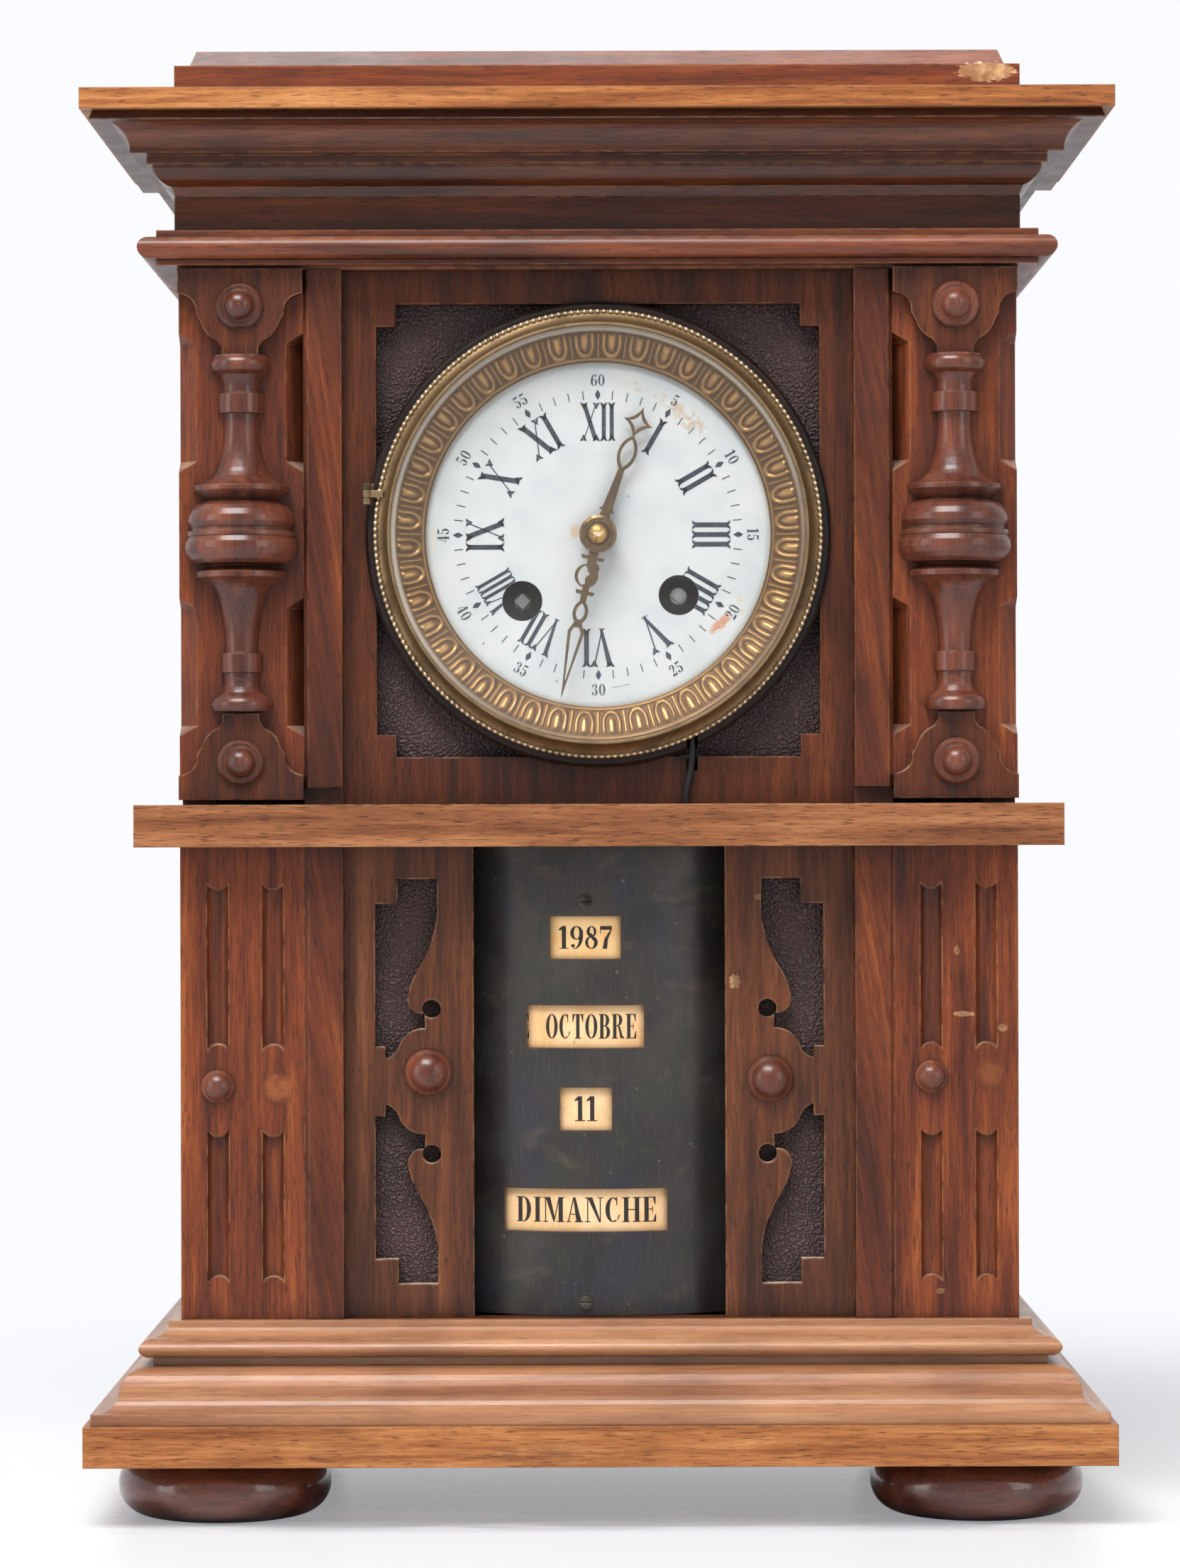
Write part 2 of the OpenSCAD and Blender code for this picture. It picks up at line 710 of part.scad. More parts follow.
module door_hinge_leaves() {
    leaf_t = 0.8;
    part_h = hinge_h / 3;
    clear_r = hinge_r + 0.3;
    color([0.72, 0.58, 0.32]) for (z = hinge_zs) translate([0, 0, z]) {
        knuckle(1, hinge_r, 0.8 + run_gap);
        box(hinge_x + clear_r, hinge_x + 10, door_y, door_y + leaf_t, 0, hinge_h);
        box(hinge_x + 1.2, hinge_x + clear_r + e, door_y, door_y + leaf_t,
            part_h + 0.05, 2 * part_h - 0.05);
    }
}

module door_pull() {
    pull_r = 7;
    pull_h = door_inset - 0.1;
    color([0.72, 0.58, 0.32]) translate([inner_half - 14, door_y, lower_mid_z + 90])
        rotate([-90, 0, 0]) rotate_extrude($fn = 48)
            polygon([[0, 0], [pull_r, 0], [pull_r, 0.8], [pull_r - 2.5, 1],
                [pull_r - 3, pull_h], [0, pull_h]]);
}

// Pilasters, strips and their turned work
// A round-bottomed groove, with the wood bulging into both of its ends
module flute(x, z, h) {
    groove_r = flute_w / 2 + 0.1;
    end_r = (flute_w * flute_w / 4 + flute_end * flute_end) / (2 * flute_end);
    translate([x, front_y - groove_r + flute_depth, z]) difference() {
        cylinder(r = groove_r, h = h, $fn = small);
        for (end = [flute_end - end_r, h - flute_end + end_r])
            translate([0, 2 * groove_r, end]) rotate([90, 0, 0])
                cylinder(r = end_r, h = 4 * groove_r, $fn = small);
    }
}

// The columns are not mirrored: both pilasters carry the same two columns
module lower_pilaster(x0) {
    color([0.44, 0.23, 0.14]) difference() {
        box(x0, x0 + pilaster_w, front_y, panel_y, lower_z, shelf_z);
        for (x = [flute_outer, flute_outer + flute_pitch]) {
            flute(x0 + x, lower_z + flute_margin, flute_low_h);
            flute(x0 + x, shelf_z - flute_margin - flute_top_h, flute_top_h);
        }
    }
}

module lower_pilaster_left() {
    lower_pilaster(-case_half);
}

module lower_pilaster_right() {
    lower_pilaster(strip_out);
}

module front_strips() {
    bevel = 1.2;
    edge = [[strip_in, panel_y], [strip_in, front_y - strip_proud],
        [strip_out - bevel, front_y - strip_proud], [strip_out, front_y], [strip_out, panel_y]];
    block_h = 3.4;
    color([0.46, 0.24, 0.13]) both_sides() {
        translate([0, 0, lower_z]) linear_extrude(lower_h) polygon(edge);
        translate([0, 0, pilaster_z + block_h])
            linear_extrude(torus_z - pilaster_z - block_h) polygon(edge);
        box(strip_in, strip_out, front_y + 1.5, panel_y, upper_z, pilaster_z + block_h);
    }
}

// Cuts a 45 degree chamfer with slanted stops; its face lies on x = 0, with the waste beyond
module stopped_chamfer(w, h, stop) {
    out = w / sqrt(2) + 1;
    flat_half = h / 2 - stop;
    wide_half = flat_half + stop * out * sqrt(2) / w;
    rotate([90, 0, 0]) linear_extrude(2 * w, center = true)
        polygon([[0, -flat_half], [out, -wide_half], [out, wide_half], [0, flat_half]]);
}

module upper_pilasters() {
    mid_z = (pilaster_z + torus_z) / 2;
    chamfer_at = 18;
    in = chamfer_w / 2;
    color([0.46, 0.23, 0.14]) both_sides() difference() {
        box(strip_out, case_half, front_y, panel_y, pilaster_z, torus_z);
        for (s = [-1, 1]) translate([0, front_y + in, mid_z + s * (chamfer_at + chamfer_h / 2)]) {
            translate([strip_out + in, 0, 0]) rotate([0, 0, -135])
                stopped_chamfer(chamfer_w, chamfer_h, chamfer_stop);
            translate([case_half - in, 0, 0]) rotate([0, 0, -45])
                stopped_chamfer(chamfer_w, chamfer_h, chamfer_stop);
        }
    }
}

// Half of a turned baluster, planted on the pilaster between the two brackets
module half_balusters() {
    length = torus_z - pilaster_z - 2 * bracket_h;
    r = baluster_r;
    h = length;
    base = 0.48 * r;
    waist = 0.29 * r;
    flange = 0.8 * r;
    throat = 0.44 * r;
    belt = 0.93 * r;
    profile = concat([[0, 0]], arc_to([base, 0], [base, 0.047 * h], 0.03 * h),
        arc_to([0.41 * r, 0.052 * h], [0.32 * r, 0.1 * h], -0.05 * h),
        [[0.32 * r, 0.113 * h], [0.37 * r, 0.115 * h], [0.37 * r, 0.168 * h], [waist, 0.17 * h]],
        arc_to([waist, 0.171 * h], [throat, 0.328 * h], -0.5 * h),
        arc_to([throat, 0.328 * h], [flange, 0.38 * h], -0.092 * h),
        [[flange, 0.395 * h], [0.62 * r, 0.412 * h]],
        arc_to([0.7 * r, 0.415 * h], [belt, 0.493 * h], 0.049 * h),
        [[0.95 * r, 0.495 * h], [0.95 * r, 0.507 * h], [0.88 * r, 0.509 * h], [0.88 * r, 0.516 * h]],
        arc_to([belt, 0.517 * h], [0.62 * r, 0.594 * h], 0.061 * h),
        [[0.66 * r, 0.597 * h], [0.83 * r, 0.622 * h], [0.83 * r, 0.635 * h]],
        arc_to([flange, 0.636 * h], [throat, 0.686 * h], -0.079 * h),
        arc_to([throat, 0.686 * h], [0.31 * r, 0.823 * h], -0.33 * h),
        [[0.31 * r, 0.837 * h], [0.41 * r, 0.839 * h], [0.41 * r, 0.893 * h], [0.33 * r, 0.895 * h]],
        arc_to([0.33 * r, 0.897 * h], [0.4 * r, 0.946 * h], -0.06 * h),
        arc_to([base, 0.951 * h], [base, 0.995 * h], 0.029 * h), [[base, h], [0, h]]);
    color([0.34, 0.20, 0.18]) both_sides()
        translate([pilaster_x, front_y, pilaster_z + bracket_h])
            rotate([0, 0, 180]) rotate_extrude(angle = 180, $fn = 64) polygon(profile);
}

module bracket_outline() {
    half = bracket_half;
    neck = bracket_neck_w / 2;
    cove = [half - 1.1, 7.4];
    nib = [half - 5.2, 11.8];
    shoulder = [half - 6.1, 13.2];
    belly = [neck + 1.2, bracket_h - 4];
    side = concat([[half, 0], [half, cove[1] - 0.5]], arc_to(cove, nib, -4.6),
        [[nib[0], shoulder[1] - 0.3]], arc_to(shoulder, belly, 8.5),
        [[neck, bracket_h - 2], [neck, bracket_h]]);
    polygon(concat(side, [for (i = [len(side) - 1 : -1 : 0]) [-side[i][0], side[i][1]]]));
}

module pilaster_brackets() {
    color([0.47, 0.24, 0.15]) both_sides() translate([pilaster_x, 0, 0]) {
        translate([0, 0, pilaster_z]) flat(front_y - bracket_t, bracket_t) bracket_outline();
        translate([0, 0, torus_z]) mirror([0, 0, 1])
            flat(front_y - bracket_t, bracket_t) bracket_outline();
    }
}

// Turned boss: a flat ring with a dome in it, whose share of the width is given
module boss(d, h, share) {
    r = d / 2;
    rim = h * 0.36;
    dome_r = r * share;
    ball_r = (dome_r * dome_r + (h - rim) * (h - rim)) / (2 * (h - rim));
    rotate([90, 0, 0]) {
        rotate_extrude($fn = 48)
            polygon([[0, 0], [r, 0], [r, rim * 0.6], [r - rim * 0.4, rim], [0, rim]]);
        intersection() {
            translate([0, 0, h - ball_r]) sphere(r = ball_r, $fn = 48);
            cylinder(r = dome_r, h = h + 1, $fn = 48);
        }
    }
}

module turned_bosses() {
    bracket_y = front_y - bracket_t;
    narrow = 0.66;
    wide = 0.86;
    color([0.33, 0.20, 0.18]) {
        for (x = [-pilaster_x, pilaster_x], z = [pilaster_z + boss_in, torus_z - boss_in])
            translate([x, bracket_y, z]) boss(boss_d, boss_h, narrow);
        for (i = [0, 1]) {
            translate([(2 * i - 1) * (fret_in + 13), panel_y - fret_t, lower_mid_z + fret_boss_up[i]])
                boss(boss_d, boss_h, wide);
            translate([[-case_half, strip_out][i] + flute_outer, front_y, lower_mid_z + button_up[i]])
                boss(button_d, button_h, wide);
        }
    }
}

// Fret panels: one cutout above the middle and its mirror image below it
module fret_cutout() {
    x0 = -strip_in + fret_edge;
    x1 = x0 + fret_cut_w;
    z0 = 6.5;
    z1 = z0 + fret_cut_h;
    mid = [x0 + 12.3, 32.2];
    bay = [x1 - 8.6, 23.5];
    lip = [x1 - 3.7, 19.5];
    heel = [x1 - 3.5, 15.2];
    nose = [x0 + 7.1, 11.2];
    tail = [x0 + 3, z0];
    polygon(concat([[x0, 9.9], [x0 + 2.8, 9.9], tail], arc_to(tail, nose, 6),
        arc_to(nose, heel, -8), [lip], arc_to(lip, bay, -4), arc_to(bay, mid, -24),
        arc_to(mid, [x1, z1 - 10.5], 36), [[x1, z1], [x0 + 6.5, z1],
        [x0 + 6.5, z1 - 7.1], [x0, z1 - 7.1]]));
    translate([x1 - 1.7, 20.8]) circle(fret_hole_r, $fn = 48);
}

module fret_panel() {
    color([0.43, 0.24, 0.16]) translate([0, 0, lower_mid_z]) flat(panel_y - fret_t, fret_t)
        difference() {
            translate([-strip_in, -lower_h / 2]) square([strip_in - fret_in, lower_h]);
            fret_cutout();
            mirror([0, 1]) fret_cutout();
        }
}

module fret_panel_left() {
    fret_panel();
}

module fret_panel_right() {
    mirror([1, 0, 0]) fret_panel();
}

module leather_boards() {
    slot = trip_r + 0.7;
    color([0.29, 0.21, 0.22]) {
        both_sides()
            box(mask_half + 0.8, inner_half, panel_y, panel_y + fret_board_t,
                lower_z, shelf_z);
        difference() {
            box(-inner_half, inner_half, panel_y, panel_y + panel_t, upper_z, torus_z);
            translate([0, 0, dial_z]) bar(plate_r - 10, panel_y - 1, far, fine);
            box(trip_top_x() - slot, trip_top_x() + slot, panel_y - 1, far,
                trip_top_z() - trip_travel - 2, trip_top_z() + 2);
        }
    }
}

// Calendar: four drums on one upright spindle behind a curved mask
module mask_windows() {
    for (w = [[year_win_w, year_z], [month_win_w, month_z], [date_win_w, date_z],
        [weekday_win_w, weekday_z]])
        box(-window_left - w[0] / 2, -window_left + w[0] / 2, -far, 0,
            w[1] - win_h / 2, w[1] + win_h / 2);
}

module calendar_mask() {
    r = mask_r;
    gap = 0.1;
    flange_w = 12;
    color([0.23, 0.22, 0.22]) {
        difference() {
            translate([0, drum_y, lower_z + gap]) cylinder(r = r, h = lower_h - 2 * gap, $fn = 180);
            translate([0, drum_y, 0]) cylinder(r = r - mask_t, h = far, $fn = 180);
            box(-far, far, flange_y + mask_t, far, 0, far);
            mask_windows();
        }
        both_sides()
            box(mask_fold_x - mask_t, mask_half + flange_w, flange_y, flange_y + mask_t,
                lower_z + gap, shelf_z - gap);
    }
}

module mask_screws() {
    head_r = 1.9;
    head_h = 0.7;
    screw_z = [lower_z + 4, shelf_z - 16];
    color([0.45, 0.42, 0.38]) {
        both_sides() for (z = [lower_z + 20, shelf_z - 20])
            translate([mask_half + 7, 0, z]) bar(2.5, flange_y + mask_t, 1.2);
        for (z = screw_z)
            difference() {
                translate([-window_left, 0, z]) difference() {
                    bar(head_r, mask_front_y - head_h + 0.12, head_h + 1, small);
                    box(-head_r, head_r, mask_front_y - head_h, mask_front_y - 0.3, -0.2, 0.2);
                }
                translate([0, drum_y, 0]) cylinder(r = mask_r + e, h = far, $fn = 180);
            }
    }
}

module drum_spindle() {
    collar_r = 4.5;
    collar_h = 2;
    color([0.55, 0.55, 0.56]) translate([0, drum_y, 0]) {
        translate([0, 0, floor_z]) cylinder(r = spindle_r, h = shelf_z - floor_z, $fn = 48);
        for (z = [floor_z, shelf_z - 2]) translate([0, 0, z])
            cylinder(r = 9, h = 2, $fn = 48);
        for (z = [year_z, month_z, date_z, weekday_z])
            translate([0, 0, z - drum_h / 2 - collar_h - 0.1])
                cylinder(r = collar_r, h = collar_h, $fn = 48);
    }
}

module calendar_drum(z, star_n) {
    wall = 1;
    web = 1.2;
    star_r = 16;
    color([0.90, 0.76, 0.55]) translate([0, drum_y, z - drum_h / 2]) difference() {
        union() {
            difference() {
                cylinder(r = drum_r, h = drum_h, $fn = 180);
                translate([0, 0, -1]) cylinder(r = drum_r - wall, h = drum_h - web + 1, $fn = 180);
            }
            cylinder(r = hub_r, h = drum_h, $fn = 48);
            linear_extrude(1.5) polygon(star_points(star_n, star_r, star_r - 3));
        }
        for (a = [0 : 60 : 300]) rotate(a) translate([drum_r * 0.6, 0, drum_h - 2])
            cylinder(r = 12, h = 3, $fn = 48);
        translate([0, 0, -1]) cylinder(r = spindle_r + run_gap, h = drum_h + 2, $fn = 48);
    }
}

module year_drum() {
    calendar_drum(year_z, 10);
}

module month_drum() {
    calendar_drum(month_z, 12);
}

module date_drum() {
    calendar_drum(date_z, 31);
}

module weekday_drum() {
    calendar_drum(weekday_z, 7);
}

// Dial, bezel and hands
module dial_frame() {
    color([0.42, 0.22, 0.14]) difference() {
        box(-strip_in, strip_in, panel_y - frame_t, panel_y, upper_z, torus_z);
        for (c = [0, 1])
            box(-frame_open_w / 2 + c * notch_w, frame_open_w / 2 - c * notch_w,
                panel_y - frame_t - 1, panel_y + 1,
                frame_z - frame_open_h / 2 + (1 - c) * notch_h,
                frame_z + frame_open_h / 2 - (1 - c) * notch_h);
        translate([0, 0, dial_z]) bar(wood_ring_r, panel_y - frame_t - 1, far, 180);
        trip_notch();
    }
}

module trip_notch() {
    slot = trip_r + 0.7;
    box(trip_top_x() - slot, trip_top_x() + slot, ring_y - 1, panel_y + 1,
        dial_z - wood_ring_r - 1, trip_top_z() + 2);
}

module dial_ring() {
    bore = glass_r + 0.4;
    color([0.36, 0.20, 0.13]) difference() {
        translate([0, 0, dial_z]) turned_front(panel_y, 180)
            polygon([[bore, 0], [wood_ring_r, 0], [wood_ring_r, wood_ring_t - 1],
                [wood_ring_r - 1, wood_ring_t], [bore, wood_ring_t]]);
        trip_notch();
    }
}

module enamel_dial() {
    foot_at = 36;
    color([0.88, 0.92, 0.92]) translate([0, 0, dial_z]) {
        difference() {
            bar(enamel_r, enamel_y, enamel_t, 180);
            bar(pipe_r + 0.5, enamel_y - 1, far, small);
            rotate([0, -movement_turn, 0]) for (p = [going_at, strike_at])
                at(p) bar(wind_hole_d / 2, enamel_y - 1, far, 48);
        }
        for (a = [0, 120, 240]) at(polar(foot_at, a))
            bar(stud_r, enamel_y + enamel_t - e, fp_y - enamel_y - enamel_t + e, small);
    }
}

// Section of the bezel: radius, and height forward of its back
module bezel_ring() {
    seat = glass_r + 0.05;
    bead_out = bezel_r;
    bead_in = bezel_r - 1.2;
    bead_h = 1.8;
    hollow_in = bezel_lip_r + 0.8;
    arm_h = 2;
    color([0.45, 0.42, 0.28]) {
        translate([0, 0, dial_z]) turned_front(bezel_y, 180)
            polygon(concat([[seat, 0], [bead_out, 0], [bead_out, bead_h - 0.4]],
                arc_to([bead_out, bead_h - 0.4], [bead_in, bead_h], 0.7, 4),
                arc_to([bead_in, bead_h], [hollow_in, bezel_h - 0.3], -6.5, 6),
                [[hollow_in, bezel_h], [bezel_lip_r, bezel_h],
                [bezel_lip_r, bezel_h - lip_t], [seat, bezel_h - lip_t]]));
        translate([bezel_pin_x, bezel_pin_y, bezel_pin_z - arm_h / 2]) difference() {
            union() {
                cylinder(r = bezel_knuckle_r, h = arm_h, $fn = small);
                box(0, bezel_r - sqrt(bezel_r * bezel_r - 12 * 12) + 3.5, -0.6, 0.6, 0, arm_h);
            }
            translate([0, 0, -1]) cylinder(r = 0.5 + run_gap, h = arm_h + 2, $fn = small);
        }
    }
}

module bezel_glass() {
    ball_r = (glass_r * glass_r + glass_rise * glass_rise) / (2 * glass_rise);
    color([0.85, 0.92, 0.92, 0.35]) translate([0, glass_y, dial_z]) rotate([90, 0, 0])
        intersection() {
            difference() {
                translate([0, 0, glass_rise - ball_r]) sphere(r = ball_r, $fn = 180);
                translate([0, 0, glass_rise - ball_r]) sphere(r = ball_r - glass_t, $fn = 180);
            }
            translate([0, 0, -glass_t]) cylinder(r = bezel_lip_r - 0.1, h = far, $fn = 180);
        }
}

module bezel_slip() {
    back = glass_y + glass_t + 0.3;
    rise = slip_y - back;
    inner = 51.1;
    color([0.80, 0.60, 0.32]) translate([0, 0, dial_z]) turned_front(slip_y, 180)
        polygon([[enamel_visible_r, 0], [inner, 0], [glass_r, rise - slip_t],
            [glass_r, rise], [glass_r - 1.2, rise], [inner, slip_t], [enamel_visible_r, slip_t]]);
}

// A pointed loop, l long and w wide, with its lower tip at the origin
module leaf(l, w) {
    r = (l * l + w * w) / (4 * w);
    intersection_for (s = [-1, 1])
        translate([s * (r - w / 2), l / 2]) circle(r, $fn = 120);
}

// A four-pointed figure with hollow sides
module star4(l, w) {
    polygon([for (t = [0 : 10 : 350]) [w / 2 * pow(abs(cos(t)), 3) * sign(cos(t)),
        l / 2 * pow(abs(sin(t)), 3) * sign(sin(t))]]);
}

module taper(r1, r2, w1, w2) {
    polygon([[-w1 / 2, r1], [w1 / 2, r1], [w2 / 2, r2], [-w2 / 2, r2]]);
}

module hour_hand() {
    loop_at = hour_len - 19.7;
    star_at = hour_len - 9.7;
    color([0.45, 0.33, 0.25]) translate([0, 0, dial_z]) rotate([0, hour_angle, 0])
        flat(hour_y - hand_t, hand_t) difference() {
            union() {
                circle(collet_r - 0.6, $fn = 48);
                taper(4, 8, 3.6, 2.4);
                taper(7, 9, 4.6, 2);
                taper(8, loop_at + 0.6, 3, 1.8);
                translate([0, loop_at]) difference() {
                    leaf(11, 5.4);
                    translate([0, 1.4]) leaf(8.4, 3.6);
                }
                translate([0, star_at + 4.85]) difference() {
                    star4(9.8, 9);
                    star4(6, 5.4);
                }
            }
            circle(pipe_r, $fn = small);
        }
}

module minute_hand() {
    color([0.45, 0.33, 0.25]) translate([0, 0, dial_z]) rotate([0, minute_angle, 0])
        flat(minute_y - hand_t, hand_t) difference() {
            union() {
                circle(collet_r - 0.4, $fn = 48);
                taper(4, 10, 2.8, 2.4);
                taper(6.6, 7.6, 7, 6);
                translate([-0.9, 10]) circle(1.7, $fn = small);
                translate([-0.8, 13.5]) circle(1.6, $fn = small);
                translate([0.6, 12.4]) difference() {
                    circle(3.4, $fn = 48);
                    translate([0.8, -2.9]) leaf(5.8, 3.2);
                }
                taper(15, 19.8, 2, 1.8);
                taper(16.7, 17.8, 5.6, 4.8);
                translate([0, 19.2]) difference() {
                    leaf(7.6, 4.4);
                    translate([0, 1.2]) leaf(5, 2.4);
                }
                taper(25, 27, 1.4, 3.2);
                difference() {
                    polygon([[-1.3, 26.4], [1.3, 26.4], [2.4, 28.7], [0.5, 43.8], [0.1, minute_len],
                        [-0.1, minute_len], [-0.5, 43.8], [-2.4, 28.7]]);
                    polygon([[-0.7, 27.4], [0.7, 27.4], [1.4, 28.9], [0.1, 42.6], [-0.1, 42.6],
                        [-1.4, 28.9]]);
                }
            }
            circle(cannon_r - 0.4, $fn = small);
        }
}

module hand_nut() {
    dome_r = 3;
    color([0.75, 0.58, 0.32]) translate([0, 0, dial_z]) turned_front(minute_y - hand_t, 48)
        polygon(concat([[0, 0], [collet_r, 0], [collet_r, 0.7], [collet_r - 0.8, 1.1],
            [dome_r, 0.9]], arc_to([dome_r, 0.9], [0, 2.6], 3.6)));
}

// Movement
module plate_bores(y) {
    for (p = [[pallet_at, hair_arbor_r], [third_at, hair_arbor_r], [inter_at, fine_arbor_r],
        [escape_at, hair_arbor_r], [hammer_at, fine_arbor_r], [[0, 0], stud_r]])
        at(p[0]) bar(p[1] + run_gap, y - 1, plate_t + 2, small);
}

module movement_front_plate() {
    lug_at = 45;
    color([0.78, 0.63, 0.36]) in_movement() {
        difference() {
            union() {
                bar(plate_r, fp_y, plate_t, 120);
                for (a = [0, 90, 180, 270]) at(polar(lug_at, a))
                    bar(4, fp_y - plate_back, plate_back + e, small);
                at(minute_at) bar(stud_r, fp_y - 7.2, 7.2 + e, small);
            }
            plate_bores(fp_y);
            for (p = [going_at, strike_at])
                at(p) bar(wind_r + run_gap, fp_y - 1, plate_t + 2, small);
        }
        for (a = pillar_angles) at(polar(plate_r - 5, a))
            bar(pillar_r, in_y - e, plate_gap + e, small);
    }
}

module movement_back_plate() {
    arm_y = swing_y + 3;
    color([0.78, 0.63, 0.36]) {
        in_movement() difference() {
            bar(plate_r, bp_y, plate_t, 120);
            plate_bores(bp_y);
            for (p = [going_at, strike_at])
                at(p) bar(1.5 + run_gap, bp_y - 1, plate_t + 2, small);
        }
        // Cock that carries the pendulum on a pin
        translate([pallet_world[0], 0, dial_z + pallet_world[1]]) {
            box(-5, 5, rear_y - e, arm_y + 2, 6.5, 9);
            box(-4, 4, arm_y, arm_y + 2, -3, 9);
            bar(stud_r, swing_y - 2.4, 5.4 + e, small);
        }
        // Stand that carries the bell
        translate([0, 0, dial_z]) {
            at(stand_at) bar(pillar_r, rear_y - e, bell_back + bell_depth + 6, small);
            at(stand_at) rotate([0, -direction(stand_at, [0, bell_z - dial_z]), 0])
                box(0, norm(stand_at - [0, bell_z - dial_z]), rear_y + bell_back + bell_depth + 2,
                    rear_y + bell_back + bell_depth + 5, -2.5, 2.5);
        }
    }
}

module going_barrel() {
    color([0.80, 0.65, 0.37]) in_movement() at(going_at) difference() {
        union() {
            wheel_teeth(great_n, great_m, great_y, great_t, 0);
            bar(great_m * great_n / 2 - 0.8, great_y + great_t - e, drum_len, 96);
        }
        bar(wind_r + run_gap, great_y - 1, far, small);
    }
}

module winding_arbor() {
    square_len = 5;
    front = enamel_y + enamel_t + 0.4;
    bar(wind_r, front + square_len, bp_y - 0.3 - front - square_len, small);
    bar(1.5, bp_y - 0.3 - e, plate_t + 0.3, small);
    flat(front, square_len + e) square(wind_square, center = true);
}

module going_arbor() {
    color([0.55, 0.55, 0.58]) in_movement() at(going_at) rotate([0, 45, 0]) {
        winding_arbor();
        bar(wind_r + 1.5, great_y + great_t + drum_len + 0.4, 1.5, small);
    }
}

module strike_barrel() {
    color([0.80, 0.65, 0.37]) in_movement() at(strike_at) {
        wheel_teeth(great_n, great_m, great_y, great_t, 0);
        bar(great_m * great_n / 2 - 0.8, great_y + great_t - e, drum_len, 96);
        rotate([0, 40, 0]) winding_arbor();
    }
}

module intermediate_wheel() {
    color([0.80, 0.65, 0.37]) in_movement() at(inter_at) {
        bar(fine_arbor_r, fp_y, rear_y - fp_y, small);
        bar(arbor_r, in_y + 0.3, plate_gap - 0.6, small);
        pinion_leaves(inter_leaves, great_m, great_y - 0.1, great_t + 0.6, inter_phase);
        wheel_teeth(inter_n, inter_m, inter_y, thin_t, 0);
    }
}

module centre_arbor() {
    color([0.80, 0.65, 0.37]) in_movement() {
        bar(stud_r, minute_y + 0.3, rear_y - minute_y - 0.3, small);
        bar(arbor_r, in_y + 0.3, plate_gap - 0.6, small);
        pinion_leaves(centre_leaves, inter_m, inter_y - 1, thin_t + 2, centre_phase);
        wheel_teeth(centre_n, centre_m, centre_y, thin_t, 0);
    }
}

// Turns on the centre arbor and carries the minute hand
module cannon_pinion() {
    color([0.80, 0.65, 0.37]) in_movement() difference() {
        union() {
            wheel_teeth(cannon_n, cannon_m, fp_y - 3.2, 2.6, 0);
            bar(cannon_r, minute_y, fp_y - 0.6 - minute_y, small);
            bar(cannon_r - 0.4, minute_y - hand_t, 1, small);
        }
        bar(stud_r + run_gap, minute_y - hand_t - 1, fp_y + hand_t - minute_y + 1, small);
    }
}

module third_wheel() {
    color([0.80, 0.65, 0.37]) in_movement() at(third_at) {
        bar(hair_arbor_r, fp_y, rear_y - fp_y, small);
        bar(fine_arbor_r, in_y + 0.3, plate_gap - 0.6, small);
        pinion_leaves(third_leaves, centre_m, centre_y - 0.6, thin_t + 1.4, third_phase);
        wheel_teeth(third_n, third_m, third_y, thin_t, 0);
    }
}

module escape_wheel() {
    tooth = 1.4;
    color([0.80, 0.65, 0.37]) in_movement() at(escape_at) {
        bar(hair_arbor_r, fp_y, rear_y - fp_y, small);
        pinion_leaves(escape_leaves, third_m, third_y - 0.6, thin_t + 1.4, escape_phase);
        flat(escape_y, thin_t) polygon([for (k = [0 : escape_n - 1])
            let (a = k * 360 / escape_n) each [polar(escape_r - tooth, a),
                polar(escape_r, a + 1.5), polar(escape_r - tooth, a + 4.5)]]);
    }
}

module minute_wheel() {
    color([0.80, 0.65, 0.37]) in_movement() at(minute_at) difference() {
        union() {
            wheel_teeth(minute_n, cannon_m, fp_y - 2, thin_t, minute_phase);
            pinion_leaves(minute_leaves, hour_m, fp_y - 6.6, 4.6 + e, 0);
        }
        bar(stud_r + run_gap, fp_y - far, far, small);
    }
}

module hour_wheel() {
    wheel_y = fp_y - 6;
    color([0.80, 0.65, 0.37]) in_movement() difference() {
        union() {
            wheel_teeth(hour_n, hour_m, wheel_y, thin_t, hour_phase);
            bar(pipe_r, hour_y - hand_t, wheel_y - hour_y + hand_t + e, small);
        }
        bar(cannon_r + run_gap, hour_y - far, far + 30, small);
    }
}

// The pallets stay clear of the escape wheel over the whole swing
module pallet_arbor() {
    reach = escape_r + 1;
    spread = 42;
    tip = polar(reach, 90 - spread) - [0, pallet_up];
    fork_z = 30;
    slot = 1.25;
    color([0.60, 0.60, 0.62]) {
        in_movement() at(pallet_at) {
            bar(hair_arbor_r, fp_y, rear_y + 3.2 - fp_y, small);
            flat(escape_y - 0.2, thin_t + 0.4) {
                circle(2, $fn = small);
                for (s = [-1, 1])
                    polygon([[s * tip[0], tip[1]], [s * (tip[0] + 1.4), tip[1] + 0.6],
                        [s * 5, 0.6], [0, 2], [0, -1.6], [s * 4, -1.6]]);
            }
        }
        translate([pallet_world[0], 0, dial_z + pallet_world[1]]) {
            box(-1.5, 1.5, rear_y + 1.2, rear_y + 2.6, -fork_z, 1.5);
            for (s = [-1, 1])
                box(s * (slot + 0.6) - 0.6, s * (slot + 0.6) + 0.6, rear_y + 1.2, swing_y + 2,
                    -fork_z, -fork_z + 2);
        }
    }
}

